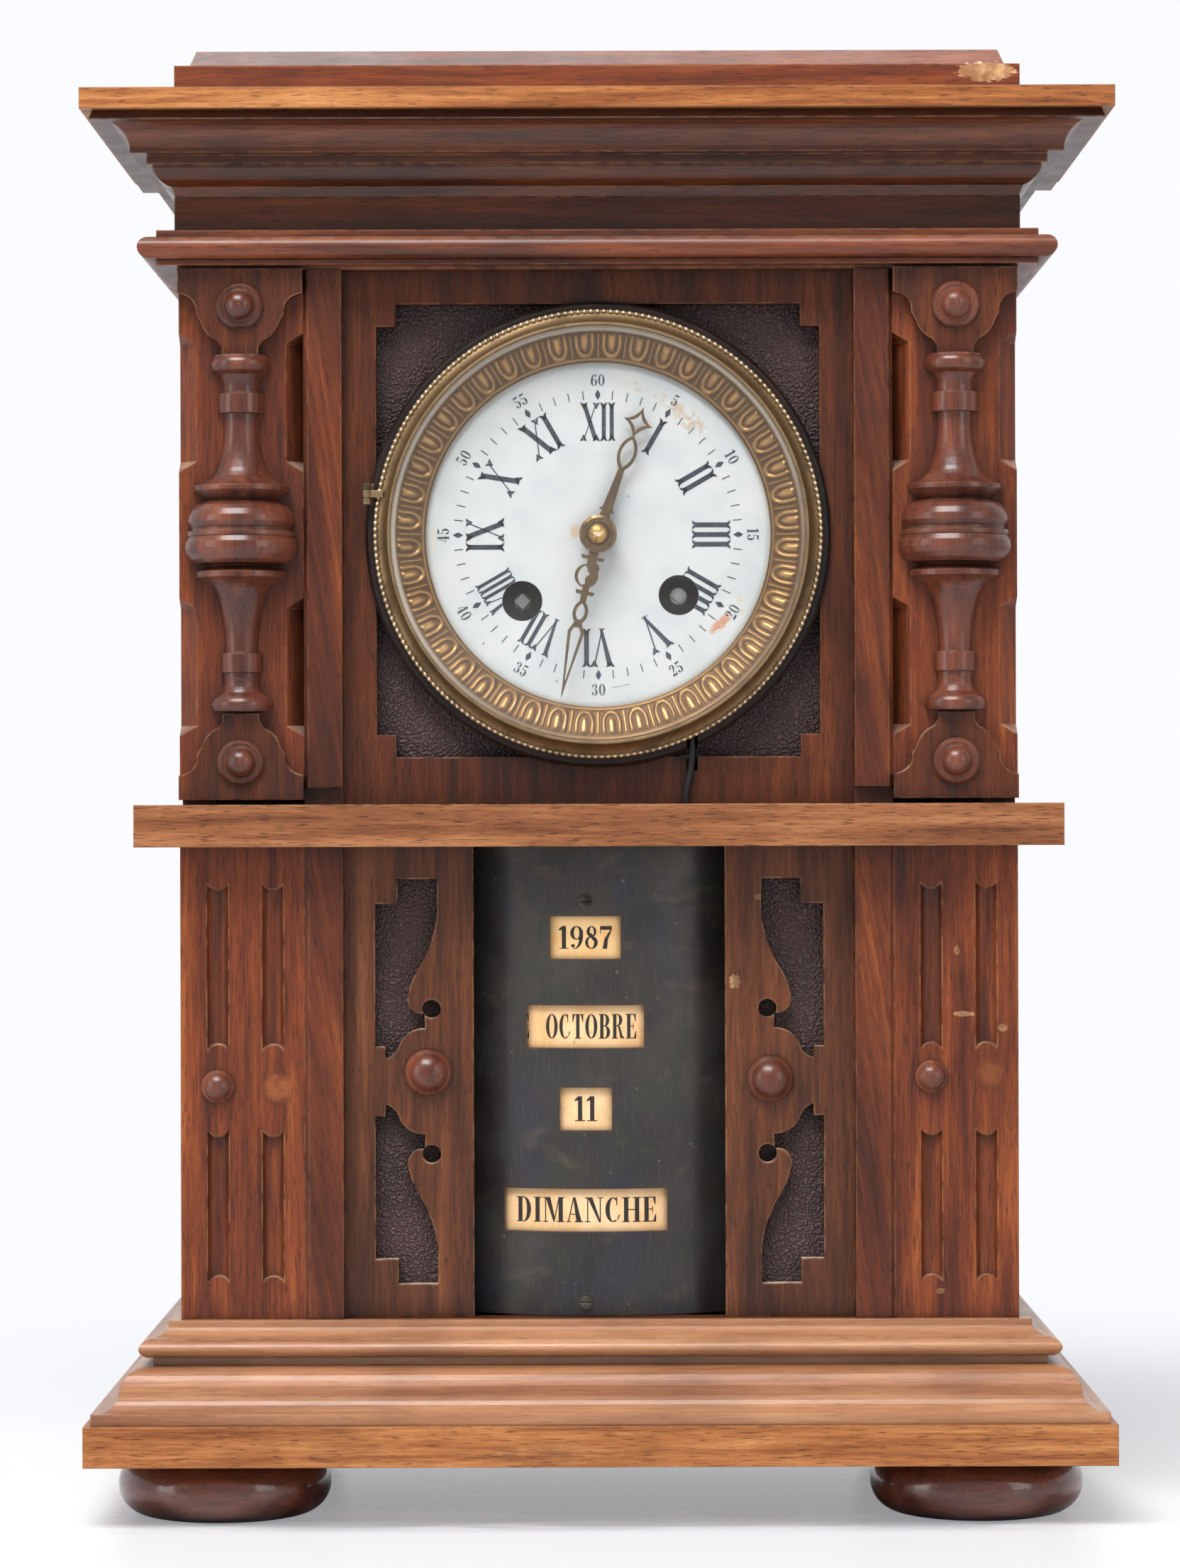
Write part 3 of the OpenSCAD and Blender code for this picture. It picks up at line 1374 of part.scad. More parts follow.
module pendulum() {
    rod_r = 1;
    eye_r = 2.6;
    edge = 1;
    sag = (bob_t - edge) / 2;
    lens_r = (bob_r * bob_r + sag * sag) / (2 * sag);
    color([0.76, 0.60, 0.33])
    translate([pallet_world[0], swing_y, dial_z + pallet_world[1]]) {
        difference() {
            bar(eye_r, -1.4, 2.8, small);
            bar(stud_r + run_gap, -2, 4, small);
        }
        translate([0, 0, -pendulum_len]) {
            cylinder(r = rod_r, h = pendulum_len - eye_r + 0.3, $fn = small);
            turned_front(0)
                polygon(concat([[0, -bob_t / 2]],
                    arc_to([0, -bob_t / 2], [bob_r, -edge / 2], lens_r, 4),
                    arc_to([bob_r, edge / 2], [0, bob_t / 2], lens_r, 4)));
            translate([0, 0, -bob_r - 2.6]) cylinder(r = 2.4, h = 2.2, $fn = small);
            translate([0, 0, -bob_r - 3]) cylinder(r = 0.6, h = 6, $fn = small);
        }
    }
}

module bell() {
    wall = 1.4;
    mouth = rear_y + bell_back;
    round_r = bell_depth;
    inner_r = bell_r - wall;
    color([0.75, 0.66, 0.42]) translate([0, 0, bell_z]) {
        translate([0, mouth, 0]) rotate([-90, 0, 0]) rotate_extrude($fn = 96)
            polygon(concat([[inner_r, 0], [bell_r, 0]],
                arc_to([bell_r, 0], [bell_r - round_r + 2, bell_depth], round_r),
                [[0, bell_depth], [0, bell_depth - wall],
                [bell_r - round_r, bell_depth - wall]],
                arc_to([bell_r - round_r, bell_depth - wall], [inner_r, 0], -round_r)));
        bar(2.5, mouth + bell_depth - e, 2, small);
        bar(3.5, mouth + bell_depth + 5, 1.6, small);
    }
}

// The hammer turns on an arbor between the plates and rests off the rim of the bell
module bell_hammer() {
    head_r = 3;
    head_at = [0, bell_z - dial_z] + polar(bell_r + head_r + 1.8, 45);
    arm = head_at - hammer_at;
    arm_y = rear_y + bell_back + 2;
    color([0.55, 0.50, 0.42]) in_movement() at(hammer_at) {
        bar(fine_arbor_r, fp_y, arm_y + 2 - fp_y, small);
        rotate([0, -direction(hammer_at, head_at), 0]) {
            box(-1.2, norm(arm), arm_y, arm_y + 1.6, -1, 1);
            translate([norm(arm), arm_y + 0.8, -3.2]) cylinder(r = head_r, h = 6.4, $fn = small);
        }
    }
}

// Trip rod: comes down in front of the dial frame and reaches back under the shelf
function trip_y() = panel_y - frame_t - trip_r - 0.6;
function trip_back_y() = trip_y() + 19;
function trip_leg_z() = shelf_z + trip_travel + trip_r + 1.2;
function trip_top_x() = trip_x + trip_step;
function trip_top_z() = dial_z - wood_ring_r + 10.5;

module trip_rod() {
    top = trip_top_z();
    back = fp_y + 2;
    color([0.10, 0.09, 0.09]) {
        rod_path([[trip_top_x(), back, top], [trip_top_x(), trip_y(), top],
            [trip_top_x(), trip_y(), top - 8], [trip_top_x() - 0.5, trip_y(), top - 12],
            [trip_x, trip_y(), upper_z + 3], [trip_x, trip_y(), trip_leg_z()],
            [trip_x, trip_back_y(), trip_leg_z()],
            [trip_x, trip_back_y(), shelf_z - 4]], trip_r);
        translate([trip_top_x(), trip_y(), top - 7.5]) rotate([0, -90, 0])
            cylinder(r = 0.5, h = 3.4, $fn = small);
    }
}

bun_feet();
base_board();
base_ogee_moulding();
base_bead_moulding();
lower_sides();
upper_sides();
front_rails();
shelf_board();
torus_moulding();
frieze_moulding();
cornice_moulding();
top_board();
cap_board();
back_door();
hinge_leaves();
door_hinge_leaves();
door_pull();
lower_pilaster_left();
lower_pilaster_right();
turned_bosses();
front_strips();
fret_panel_left();
fret_panel_right();
leather_boards();
calendar_mask();
mask_screws();
drum_spindle();
year_drum();
month_drum();
date_drum();
weekday_drum();
upper_pilasters();
half_balusters();
pilaster_brackets();
dial_frame();
dial_ring();
enamel_dial();
bezel_ring();
bezel_glass();
bezel_slip();
hour_hand();
minute_hand();
hand_nut();
movement_front_plate();
movement_back_plate();
going_barrel();
going_arbor();
strike_barrel();
intermediate_wheel();
centre_arbor();
cannon_pinion();
third_wheel();
escape_wheel();
minute_wheel();
hour_wheel();
pallet_arbor();
pendulum();
bell();
bell_hammer();
trip_rod();
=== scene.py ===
"""Looks of the calendar clock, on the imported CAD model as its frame."""
import math

import bmesh
import bpy
from mathutils import Matrix, Vector
from mathutils.geometry import tessellate_polygon


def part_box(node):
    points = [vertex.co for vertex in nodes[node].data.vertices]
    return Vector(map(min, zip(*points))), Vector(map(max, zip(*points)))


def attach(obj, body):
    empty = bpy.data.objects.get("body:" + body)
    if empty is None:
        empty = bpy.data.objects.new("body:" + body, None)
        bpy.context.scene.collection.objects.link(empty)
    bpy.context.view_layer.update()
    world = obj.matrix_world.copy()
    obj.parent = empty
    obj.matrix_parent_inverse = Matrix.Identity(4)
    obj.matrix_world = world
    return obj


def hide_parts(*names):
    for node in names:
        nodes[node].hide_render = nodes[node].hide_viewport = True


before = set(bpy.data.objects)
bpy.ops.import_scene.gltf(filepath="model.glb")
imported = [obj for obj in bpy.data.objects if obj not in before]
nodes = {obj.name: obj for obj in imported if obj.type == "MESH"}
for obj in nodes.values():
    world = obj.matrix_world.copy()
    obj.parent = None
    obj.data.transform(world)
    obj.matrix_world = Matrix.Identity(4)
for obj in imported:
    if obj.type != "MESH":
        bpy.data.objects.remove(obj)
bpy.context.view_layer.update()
scene = bpy.context.scene
scene.view_settings.view_transform = "Standard"
MM = 0.001

# Main places in mm, most of them read from the frame
glass_lo, glass_hi = (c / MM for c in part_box("bezel_glass"))
DIAL_Z = (glass_lo.z + glass_hi.z) / 2
ENAMEL_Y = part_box("enamel_dial")[0].y / MM
drum_lo, drum_hi = (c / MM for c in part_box("year_drum"))
DRUM_R = (drum_hi.x - drum_lo.x) / 2
DRUM_Y = (drum_lo.y + drum_hi.y) / 2
SLIP_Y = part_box("bezel_slip")[1].y / MM
base_lo, base_hi = (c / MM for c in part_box("base_board"))
MITRE = base_hi.x + base_lo.y       # |x| + y on the mitre of every moulding
LEDGE_Y = -55.4                     # the flat of the bezel that carries the pearls
SCAR_Y = -30                        # scars in the wood stay in front of this

# Camera: sizes in the photo's pixels, place in metres
PHOTO_W, PHOTO_H, FOCAL = 1664, 2212, 6553
AXIS_X, AXIS_Y = 844.5, 1135
CAMERA_AT = (0, -1.38, 0.203)
CAMERA_ROLL = -0.0028
SENSOR = 36
camera_data = bpy.data.cameras.new("camera")
camera = bpy.data.objects.new("camera", camera_data)
scene.collection.objects.link(camera)
camera_data.sensor_fit = "VERTICAL"
camera_data.sensor_height = SENSOR
camera_data.lens = SENSOR * FOCAL / PHOTO_H
camera_data.shift_x = (PHOTO_W / 2 - AXIS_X) / PHOTO_H
camera_data.shift_y = (AXIS_Y - PHOTO_H / 2) / PHOTO_H
camera.matrix_world = (Matrix.Translation(CAMERA_AT) @ Matrix.Rotation(math.pi / 2, 4, "X")
                       @ Matrix.Rotation(CAMERA_ROLL, 4, "Z"))
scene.camera = camera


# Materials
def srgb(r, g, b):
    """A linear colour from three numbers up to 255."""
    return tuple(((c / 255 + 0.055) / 1.055) ** 2.4 for c in (r, g, b)) + (1.0,)


class Nodes:
    """The node tree of a material or world, with short calls that add nodes to it."""

    def __init__(self, owner, coordinates):
        owner.use_nodes = True
        self.tree = owner.node_tree
        self.co = self.add("TexCoord", coordinates)

    def put(self, socket, value):
        if isinstance(value, bpy.types.NodeSocket):
            self.tree.links.new(value, socket)
        else:
            socket.default_value = value

    def add(self, kind, out=0, props=(), **inputs):
        """Adds a node and returns one output; an input i3 is the one with index 3."""
        n = self.tree.nodes.new("ShaderNode" + kind)
        for k, v in dict(props).items():
            setattr(n, k, v)
        for k, v in inputs.items():
            self.put(n.inputs[int(k[1:]) if k[1:].isdigit() else k.replace("_", " ")], v)
        return n.outputs[out]

    def math(self, op, a, b=0.0, clamp=False):
        return self.add("Math", props={"operation": op, "use_clamp": clamp}, i0=a, i1=b)

    def plus(self, a, b):
        return self.math("ADD", a, b)

    def minus(self, a, b):
        return self.math("SUBTRACT", a, b)

    def times(self, a, b):
        return self.math("MULTIPLY", a, b)

    def squares(self, a, b):
        return self.plus(self.times(a, a), self.times(b, b))

    def mix(self, f, a, b, mode="MIX"):
        return self.add("Mix", 2, {"data_type": "RGBA", "blend_type": mode}, i0=f, i6=a, i7=b)

    def xyz(self, vec=None):
        n = self.tree.nodes.new("ShaderNodeSeparateXYZ")
        self.put(n.inputs[0], vec or self.co)
        return n.outputs


class Shade(Nodes):
    """A material on the principled shader."""

    def __init__(self, name):
        self.mat = bpy.data.materials.new(name)
        super().__init__(self.mat, "Object")
        self.bsdf = self.tree.nodes["Principled BSDF"]

    def set(self, **inputs):
        for k, v in inputs.items():
            self.put(self.bsdf.inputs[k.replace("_", " ")], v)

    def surface(self, shader):
        self.tree.links.new(shader, self.tree.nodes["Material Output"].inputs["Surface"])

    def over(self, colour, where, amount, tint, mode="MIX"):
        """A colour with a tint laid over it where a mask says, as three numbers up to 255."""
        return self.mix(self.times(where, amount), colour, srgb(*tint), mode)

    def ramp(self, fac, *stops):
        n = self.tree.nodes.new("ShaderNodeValToRGB")
        e = n.color_ramp.elements
        while len(e) < len(stops):
            e.new(0.5)
        for i, (pos, colour) in enumerate(stops):
            e[i].position = pos
            e[i].color = colour
        self.put(n.inputs[0], fac)
        return n.outputs[0]

    def step(self, fac, lo, hi):
        """0 up to lo and 1 from hi on, or the other way round where lo is the larger."""
        return self.add("MapRange", 0, {"interpolation_type": "SMOOTHSTEP"}, i0=fac, i1=lo, i2=hi)

    def spread(self, noise, lo, hi):
        """The usual span of a noise, spread from lo to hi."""
        return self.add("MapRange", 0, Value=noise, From_Min=0.3, From_Max=0.7, To_Min=lo,
                        To_Max=hi)

    def map(self, scale, offset=(0, 0, 0), vec=None):
        return self.add("Mapping", Vector=vec or self.co, Location=offset,
                        Scale=scale if isinstance(scale, (tuple, list)) else (scale,) * 3)

    def noise(self, vec, detail=2.0, distort=0.0):
        return self.add("TexNoise", 0, Vector=vec, Scale=1.0, Detail=detail, Roughness=0.5,
                        Distortion=distort)

    def combine(self, x, y, z):
        return self.add("CombineXYZ", i0=x, i1=y, i2=z)

    def bump(self, height, strength, distance, normal=None):
        n = self.tree.nodes.new("ShaderNodeBump")
        n.inputs["Strength"].default_value = strength
        n.inputs["Distance"].default_value = distance
        self.put(n.inputs["Height"], height)
        if normal:
            self.put(n.inputs["Normal"], normal)
        return n.outputs[0]

    def edges(self, radius):
        """Rounded normal, and how worn an edge is, from 0 on a flat face."""
        normal = self.add("Bevel", 0, {"samples": 3}, Radius=radius)
        face = self.add("NewGeometry", "Normal")
        d = self.add("VectorMath", 1, {"operation": "DOT_PRODUCT"}, i0=normal, i1=face)
        return normal, self.math("MULTIPLY", self.minus(1.0, d), 6.0, clamp=True)

    def hollow(self, distance):
        """How far a point lies in a hollow, from 0 in the open."""
        return self.minus(1.0, self.add("AmbientOcclusion", "AO", {"samples": 3},
                                        Distance=distance))

    def radius(self):
        """Distance from the dial's axis, and the angle clockwise from 12, in metres and radians."""
        x, _, z = self.xyz()
        z = self.minus(z, DIAL_Z * MM)
        return self.math("SQRT", self.squares(x, z)), self.math("ARCTAN2", x, z)


def wood(name, tones, along, seed, mitre=False, rough=0.44, coat=0.12, coat_rough=0.25, wear=0.5,
         dirt_and_shade=0.6, streak=1.0, slope=0.0, ledge_dust_and_sheen=0.0, scars=()):
    """French-polished walnut, its tones from the darkest to the lightest.

    Streak is how strong its figure is and slope how far that leans. Wear bares its edges.
    dirt_and_shade darkens its corners, as dirt and painted shade, and ledge_dust_and_sheen lightens
    the edges that face up, as dust, bare wood and a painted highlight.
    """
    s = Shade(name)
    co = s.co
    x, y, z = s.xyz()
    if mitre:
        side = s.math("GREATER_THAN", s.plus(s.math("ABSOLUTE", x), y), MITRE * MM)
        co = s.mix(side, co, s.combine(y, x, z))
    if slope:
        co = s.combine(s.plus(x, s.times(z, slope)), y, z)
    axis = "xyz".index(along)

    def grain(length, width):
        scale = [1000 / width] * 3
        scale[axis] = 1000 / length
        return s.map(scale, (seed * 3.1, seed * 1.7, seed * 2.3), co)

    big = s.noise(grain(230, 19), detail=3, distort=1.1)
    figure = s.noise(grain(60, 3.6), detail=3, distort=0.7)
    fine = s.noise(grain(12, 0.75), detail=2)
    pore = s.noise(grain(5.5, 0.34), detail=1)
    tone = s.plus(s.times(big, 0.46), s.times(figure, 0.36 * streak))
    tone = s.plus(tone, s.times(fine, 0.2 * streak))
    last = len(tones) - 1
    weak = 0.28 * min(0.0, streak - 1)      # fainter streaks sum to less
    lo, hi = 0.36 + weak, 0.68 + weak + 0.05 * max(0.0, streak - 1)
    colour = s.ramp(tone, *[(lo + (hi - lo) * i / last, srgb(*t)) for i, t in enumerate(tones)])
    pores = s.step(pore, 0.42, 0.33)
    colour = s.over(colour, pores, 0.5 * min(streak, 1.3), tones[0], "MULTIPLY")
    blotch = s.noise(s.map(24, (seed, 0, 0)), detail=2)
    colour = s.over(colour, s.step(blotch, 0.5, 0.75), 0.4, tones[0])
    # corners and hollows darkened: dirt, and painted shade where parts step back
    colour = s.over(colour, s.hollow(0.007), dirt_and_shade, (28, 16, 12))
    normal, worn = s.edges(0.0007)
    chips = s.step(s.noise(s.map(210, (0, seed, 0)), detail=3), 0.36, 0.6)
    ragged = s.minus(s.noise(s.map((500, 500, 1100), (seed, 0, 0)), detail=3), 0.5)
    for cx, cz, rx, rz, tint, amount in scars:
        u = s.math("DIVIDE", s.minus(x, cx * MM), rx * MM)
        v = s.math("DIVIDE", s.minus(z, cz * MM), rz * MM)
        split = tint == SPLIT       # splits have sharp ragged edges, other scars fade out
        d = s.plus(s.squares(u, v), s.times(ragged, 2.2 if split else 0.8))
        f = s.times(s.step(d, 1.0, 0.7) if split else s.step(d, 1.5, 0.1),
                    s.plus(0.3, s.times(chips, 0.7)))
        f = s.times(f, s.math("LESS_THAN", y, SCAR_Y * MM))
        colour = s.over(colour, f, amount, tint)
    if ledge_dust_and_sheen:       # dust, bare wood and a painted highlight where an edge faces up
        _, _, up = s.xyz(s.add("TexCoord", "Normal"))
        f = s.times(s.step(up, 0.35, 0.8), s.plus(0.4, s.times(chips, 0.6)))
        colour = s.over(colour, f, ledge_dust_and_sheen, (226, 204, 182))
    colour = s.over(colour, s.times(worn, chips), wear, (206, 150, 104))
    height = s.plus(s.times(fine, 0.55), s.times(pores, -0.6))
    dents = s.step(s.noise(s.map(120, (seed, seed, 0)), detail=2, distort=0.5), 0.3, 0.24)
    height = s.minus(height, s.times(dents, 1.2))
    shine = s.noise(s.map(55, (0, 0, seed)), detail=3)
    s.set(Base_Color=colour, Roughness=s.spread(shine, rough - 0.07, rough + 0.12),
          Specular_IOR_Level=0.3, Coat_Weight=coat, Coat_Roughness=coat_rough,
          Normal=s.bump(height, 0.16, 0.0003, normal))
    return s.mat


def leather(name, base, top, grain):
    """Embossed leather: pebbles and folds, their tops paler from rubbing and a painted highlight;
    grain is in mm.
    """
    s = Shade(name)
    warp = s.noise(s.map(260), detail=2)
    vec = s.add("VectorMath", 0, {"operation": "ADD"}, i0=s.map(1000 / grain),
                i1=s.combine(s.times(warp, 2.4), 0.0, s.times(warp, 1.6)))
    cell = s.add("TexVoronoi", 0, {"feature": "SMOOTH_F1"}, Vector=vec, Scale=1.0,
                 Smoothness=0.55, Randomness=1.0)
    pebble = s.step(cell, 0.75, 0.12)
    fold = s.noise(s.map((420, 420, 900)), detail=3, distort=0.8)
    height = s.plus(s.times(pebble, 0.75), s.times(fold, 0.5))
    tint = s.noise(s.map(46, (0, 0, 3)), detail=2)
    low = s.mix(s.step(tint, 0.35, 0.65), srgb(*base), srgb(*[int(c * 0.8) for c in base]))
    colour = s.over(low, s.step(height, 0.5, 1.15), 0.7, top)
    # painted shade, dark in the hollows of the grain and in the corners
    colour = s.over(colour, s.hollow(0.01), 0.75, (12, 8, 9))
    s.set(Base_Color=colour, Roughness=s.minus(0.62, s.times(pebble, 0.14)),
          Specular_IOR_Level=0.45, Normal=s.bump(height, 0.9, 0.0006))
    return s.mat


def metal(name, base, dark, rough=0.3, patina=0.5, metallic=1.0, spot=150, relief=False):
    """Metal with cloudy stains and grime, brighter on its worn edges; with relief, its low parts
    darker as painted shade.
    """
    s = Shade(name)
    cloud = s.noise(s.map(spot), detail=4, distort=0.4)
    fine = s.noise(s.map((2600, 2600, 500)), detail=2)
    grime = s.hollow(0.0025)
    stain_and_shade = s.math("ADD", s.times(s.step(cloud, 0.42, 0.68), patina), s.times(grime, 0.8),
                   clamp=True)
    if relief:      # the mesh says how far each point stands out, and its low parts get painted shade
        low = s.step(s.add("Attribute", 2, {"attribute_name": "relief"}), 0.5, 0.05)
        stain_and_shade = s.math("MAXIMUM", stain_and_shade, s.times(low, 0.85))
    colour = s.mix(stain_and_shade, srgb(*base), srgb(*dark))
    normal, worn = s.edges(0.0004)
    colour = s.over(colour, worn, 0.35, [min(255, c + 30) for c in base])
    s.set(Base_Color=colour, Metallic=metallic, Roughness=s.plus(rough, s.times(stain_and_shade, 0.3)),
          Normal=s.bump(fine, 0.15, 0.0001, normal))
    return s.mat


def coat(node, mat):
    """Puts a material on a node, in place of the ones it had."""
    obj = nodes[node]
    obj.data.materials.clear()
    obj.data.materials.append(mat)


DARK_WALNUT = [(42, 17, 8), (70, 31, 14), (96, 46, 20), (124, 66, 32)]
RED_WALNUT = [(58, 22, 10), (94, 41, 17), (126, 60, 26), (156, 84, 40)]
GOLD_WALNUT = [(96, 50, 22), (140, 80, 38), (172, 108, 58), (200, 138, 84)]
# paler tones, partly painted light on the upward-facing base mouldings
PALE_WALNUT = [(106, 62, 38), (150, 96, 62), (184, 130, 90), (214, 164, 124)]
SHELF_WALNUT = [(76, 38, 20), (112, 64, 34), (140, 86, 50), (166, 110, 70)]
BROWN_WALNUT = [(44, 20, 10), (76, 39, 19), (104, 57, 30), (132, 80, 46)]
STRIP_WALNUT = [(48, 18, 8), (80, 34, 14), (108, 51, 22), (138, 72, 34)]
# darker tones as painted shade, for the frieze, brackets and dial frame that the cornice shades
SHADE_WALNUT = [(38, 15, 7), (64, 28, 11), (88, 41, 17), (112, 57, 26)]
# nearly black tones as painted shade round the bezel
RING_WALNUT = [(10, 4, 3), (18, 8, 5), (28, 12, 7), (40, 18, 10)]
TURNED = [(54, 24, 16), (84, 41, 27), (112, 58, 39), (140, 80, 56)]
GHOST = (150, 84, 44)       # bare wood where a button is missing
SPLIT = (226, 182, 132)     # fresh wood of a splinter
DARK_SPOT = (44, 22, 14)
GLOSS = dict(coat=0.4, coat_rough=0.2, rough=0.36, wear=0.25, streak=0.75, dirt_and_shade=0.8)
RUBBED = dict(mitre=True, wear=0.7, streak=0.5, coat=0.6, coat_rough=0.32)
WOODS = [
    # node, tones, grain axis, options; a scar has x, z, half width, half height, colour, amount
    ("bun_feet", TURNED, "x", dict(coat=0.8, coat_rough=0.12, rough=0.3, wear=0.3)),
    ("base_board", GOLD_WALNUT, "x", dict(wear=0.75, streak=1.25, scars=[
        (-20, 21, 16, 3, DARK_SPOT, 0.3)])),
    ("base_ogee_moulding", PALE_WALNUT, "x", RUBBED),
    ("base_bead_moulding", PALE_WALNUT, "x", RUBBED),
    ("lower_sides", RED_WALNUT, "z", dict()),
    ("upper_sides", RED_WALNUT, "z", dict()),
    ("front_rails", DARK_WALNUT, "x", dict()),
    ("shelf_board", SHELF_WALNUT, "x", dict(streak=1.4, wear=0.8)),
    ("torus_moulding", RED_WALNUT, "x", dict(mitre=True, coat=0.4, ledge_dust_and_sheen=0.1)),
    ("frieze_moulding", SHADE_WALNUT, "x", dict(mitre=True, coat=0.03)),
    # darker tones here are partly painted shade under the cornice's overhang
    ("cornice_moulding", DARK_WALNUT, "x", dict(mitre=True, coat=0.35, coat_rough=0.2, rough=0.36)),
    ("top_board", GOLD_WALNUT, "x", dict(streak=1.2, wear=0.6)),
    ("cap_board", RED_WALNUT, "x", dict(coat=0.3, scars=[(111, 412, 8.5, 3.2, SPLIT, 1.0)])),
    ("back_door", DARK_WALNUT, "z", dict(coat=0.05, rough=0.6)),
    ("lower_pilaster_left", RED_WALNUT, "z", dict(wear=0.8, ledge_dust_and_sheen=0.75, scars=[
        (-92.4, 122.6, 5.0, 5.0, DARK_SPOT, 0.35), (-91.6, 122.6, 4.0, 4.0, GHOST, 0.9)])),
    ("lower_pilaster_right", RED_WALNUT, "z", dict(wear=0.8, ledge_dust_and_sheen=0.75, scars=[
        (111.5, 126.3, 5.1, 5.1, DARK_SPOT, 0.35), (111.5, 126.3, 4.2, 4.2, GHOST, 0.5),
        (104, 143, 3.4, 0.8, SPLIT, 0.45), (115, 139, 1.5, 1.2, SPLIT, 0.3),
        (102, 161, 0.9, 1.6, SPLIT, 0.35), (97, 64, 1.4, 1.0, SPLIT, 0.2)])),
    ("turned_bosses", TURNED, "z", GLOSS),
    ("front_strips", STRIP_WALNUT, "z", dict(dirt_and_shade=1.0, wear=0.4, slope=0.16, streak=0.9)),
    ("fret_panel_left", BROWN_WALNUT, "z", dict(wear=0.9, ledge_dust_and_sheen=0.8)),
    ("fret_panel_right", BROWN_WALNUT, "z", dict(wear=0.9, ledge_dust_and_sheen=0.8, scars=[
        (38.8, 152.5, 1.6, 2.6, SPLIT, 0.5), (45.5, 176.5, 1.4, 0.9, SPLIT, 0.2)])),
    ("upper_pilasters", RED_WALNUT, "z", dict(wear=0.5, ledge_dust_and_sheen=0.2)),
    ("half_balusters", TURNED, "z", GLOSS),
    ("pilaster_brackets", SHADE_WALNUT, "z", dict(wear=0.9, ledge_dust_and_sheen=0.6)),
    ("dial_frame", SHADE_WALNUT, "z", dict(wear=0.5, ledge_dust_and_sheen=0.3, coat=0.03)),
    ("dial_ring", RING_WALNUT, "z", dict(coat=0.1, wear=0.1)),
]
for i, (node, tones, axis, more) in enumerate(WOODS):
    coat(node, wood(node, tones, axis, seed=1.7 * i + 0.9, **more))

coat("leather_boards", leather("leather", (64, 43, 41), (112, 80, 76), grain=0.85))

brass = metal("brass", (176, 144, 92), (84, 60, 34))
old_brass = metal("old_brass", (132, 116, 88), (60, 50, 38), rough=0.45, patina=0.8)
pearl_brass = metal("pearl_brass", (206, 182, 150), (100, 78, 56), rough=0.34, patina=0.3)
olive = metal("olive_brass", (150, 126, 94), (74, 60, 42), rough=0.42)
gilt = metal("gilt", (190, 144, 94), (70, 42, 24), rough=0.28, patina=0.35, relief=True)
bronze = metal("bronze_steel", (112, 88, 64), (52, 38, 28), rough=0.42, patina=0.6, metallic=0.75)
steel = metal("steel", (150, 146, 142), (86, 74, 66), rough=0.32)
bell_metal = metal("bell", (176, 160, 120), (96, 80, 52), rough=0.22, patina=0.4, spot=60)
wire = metal("black_wire", (30, 28, 28), (14, 12, 12), rough=0.5, metallic=0.3)
BRASS = ["door_hinge_leaves", "door_pull", "movement_back_plate", "going_barrel",
         "intermediate_wheel", "centre_arbor", "third_wheel", "escape_wheel",
         "minute_wheel", "hour_wheel", "pendulum"]
STEEL = ["drum_spindle", "going_arbor", "cannon_pinion", "pallet_arbor", "bell_hammer"]
for mat, names in [(brass, BRASS), (old_brass, ["hinge_leaves"]), (steel, STEEL),
                   (olive, ["bezel_ring"]), (bronze, ["hour_hand", "minute_hand"]),
                   (bell_metal, ["bell"]), (wire, ["trip_rod"])]:
    for name in names:
        coat(name, mat)


def ringed(name, radius, inside, outside):
    """Two metals about the dial's axis, one inside the radius and one outside it."""
    s = Shade(name)
    r, _ = s.radius()
    cloud = s.noise(s.map(700), detail=4, distort=0.8)
    inner = s.step(r, (radius + 0.3) * MM, (radius - 0.3) * MM)
    fleck = s.step(cloud, 0.5, 0.62)
    colour = s.mix(inner, srgb(*outside), srgb(*inside))
    groove = s.times(s.step(r, (radius - 0.4) * MM, radius * MM),
                     s.step(r, (radius + 0.6) * MM, (radius + 0.1) * MM))
    dark = s.math("MAXIMUM", s.times(groove, 0.85), s.times(fleck, 0.55))
    s.set(Base_Color=s.mix(dark, colour, srgb(48, 32, 20)), Metallic=1.0,
          Roughness=s.plus(0.3, s.times(dark, 0.3)), Normal=s.bump(cloud, 0.2, 0.0001))
    return s.mat


coat("hand_nut", ringed("hand_nut_metal", 3.0, (214, 164, 92), (124, 98, 68)))


def barrel():
    """Brass barrel on a steel arbor, whose square end comes forward of the plates."""
    s = Shade("barrel")
    _, y, _ = s.xyz()
    cloud = s.noise(s.map(300), detail=4, distort=0.4)
    plate_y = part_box("movement_front_plate")[0].y
    steel_end = s.step(y, plate_y + 8 * MM, plate_y + 6 * MM)
    colour = s.mix(steel_end, srgb(176, 144, 92), srgb(168, 164, 162))
    s.set(Base_Color=s.over(colour, s.step(cloud, 0.45, 0.65), 0.3, (60, 48, 40)),
          Metallic=1.0, Roughness=0.34, Normal=s.bump(cloud, 0.15, 0.0001))
    return s.mat


coat("strike_barrel", barrel())


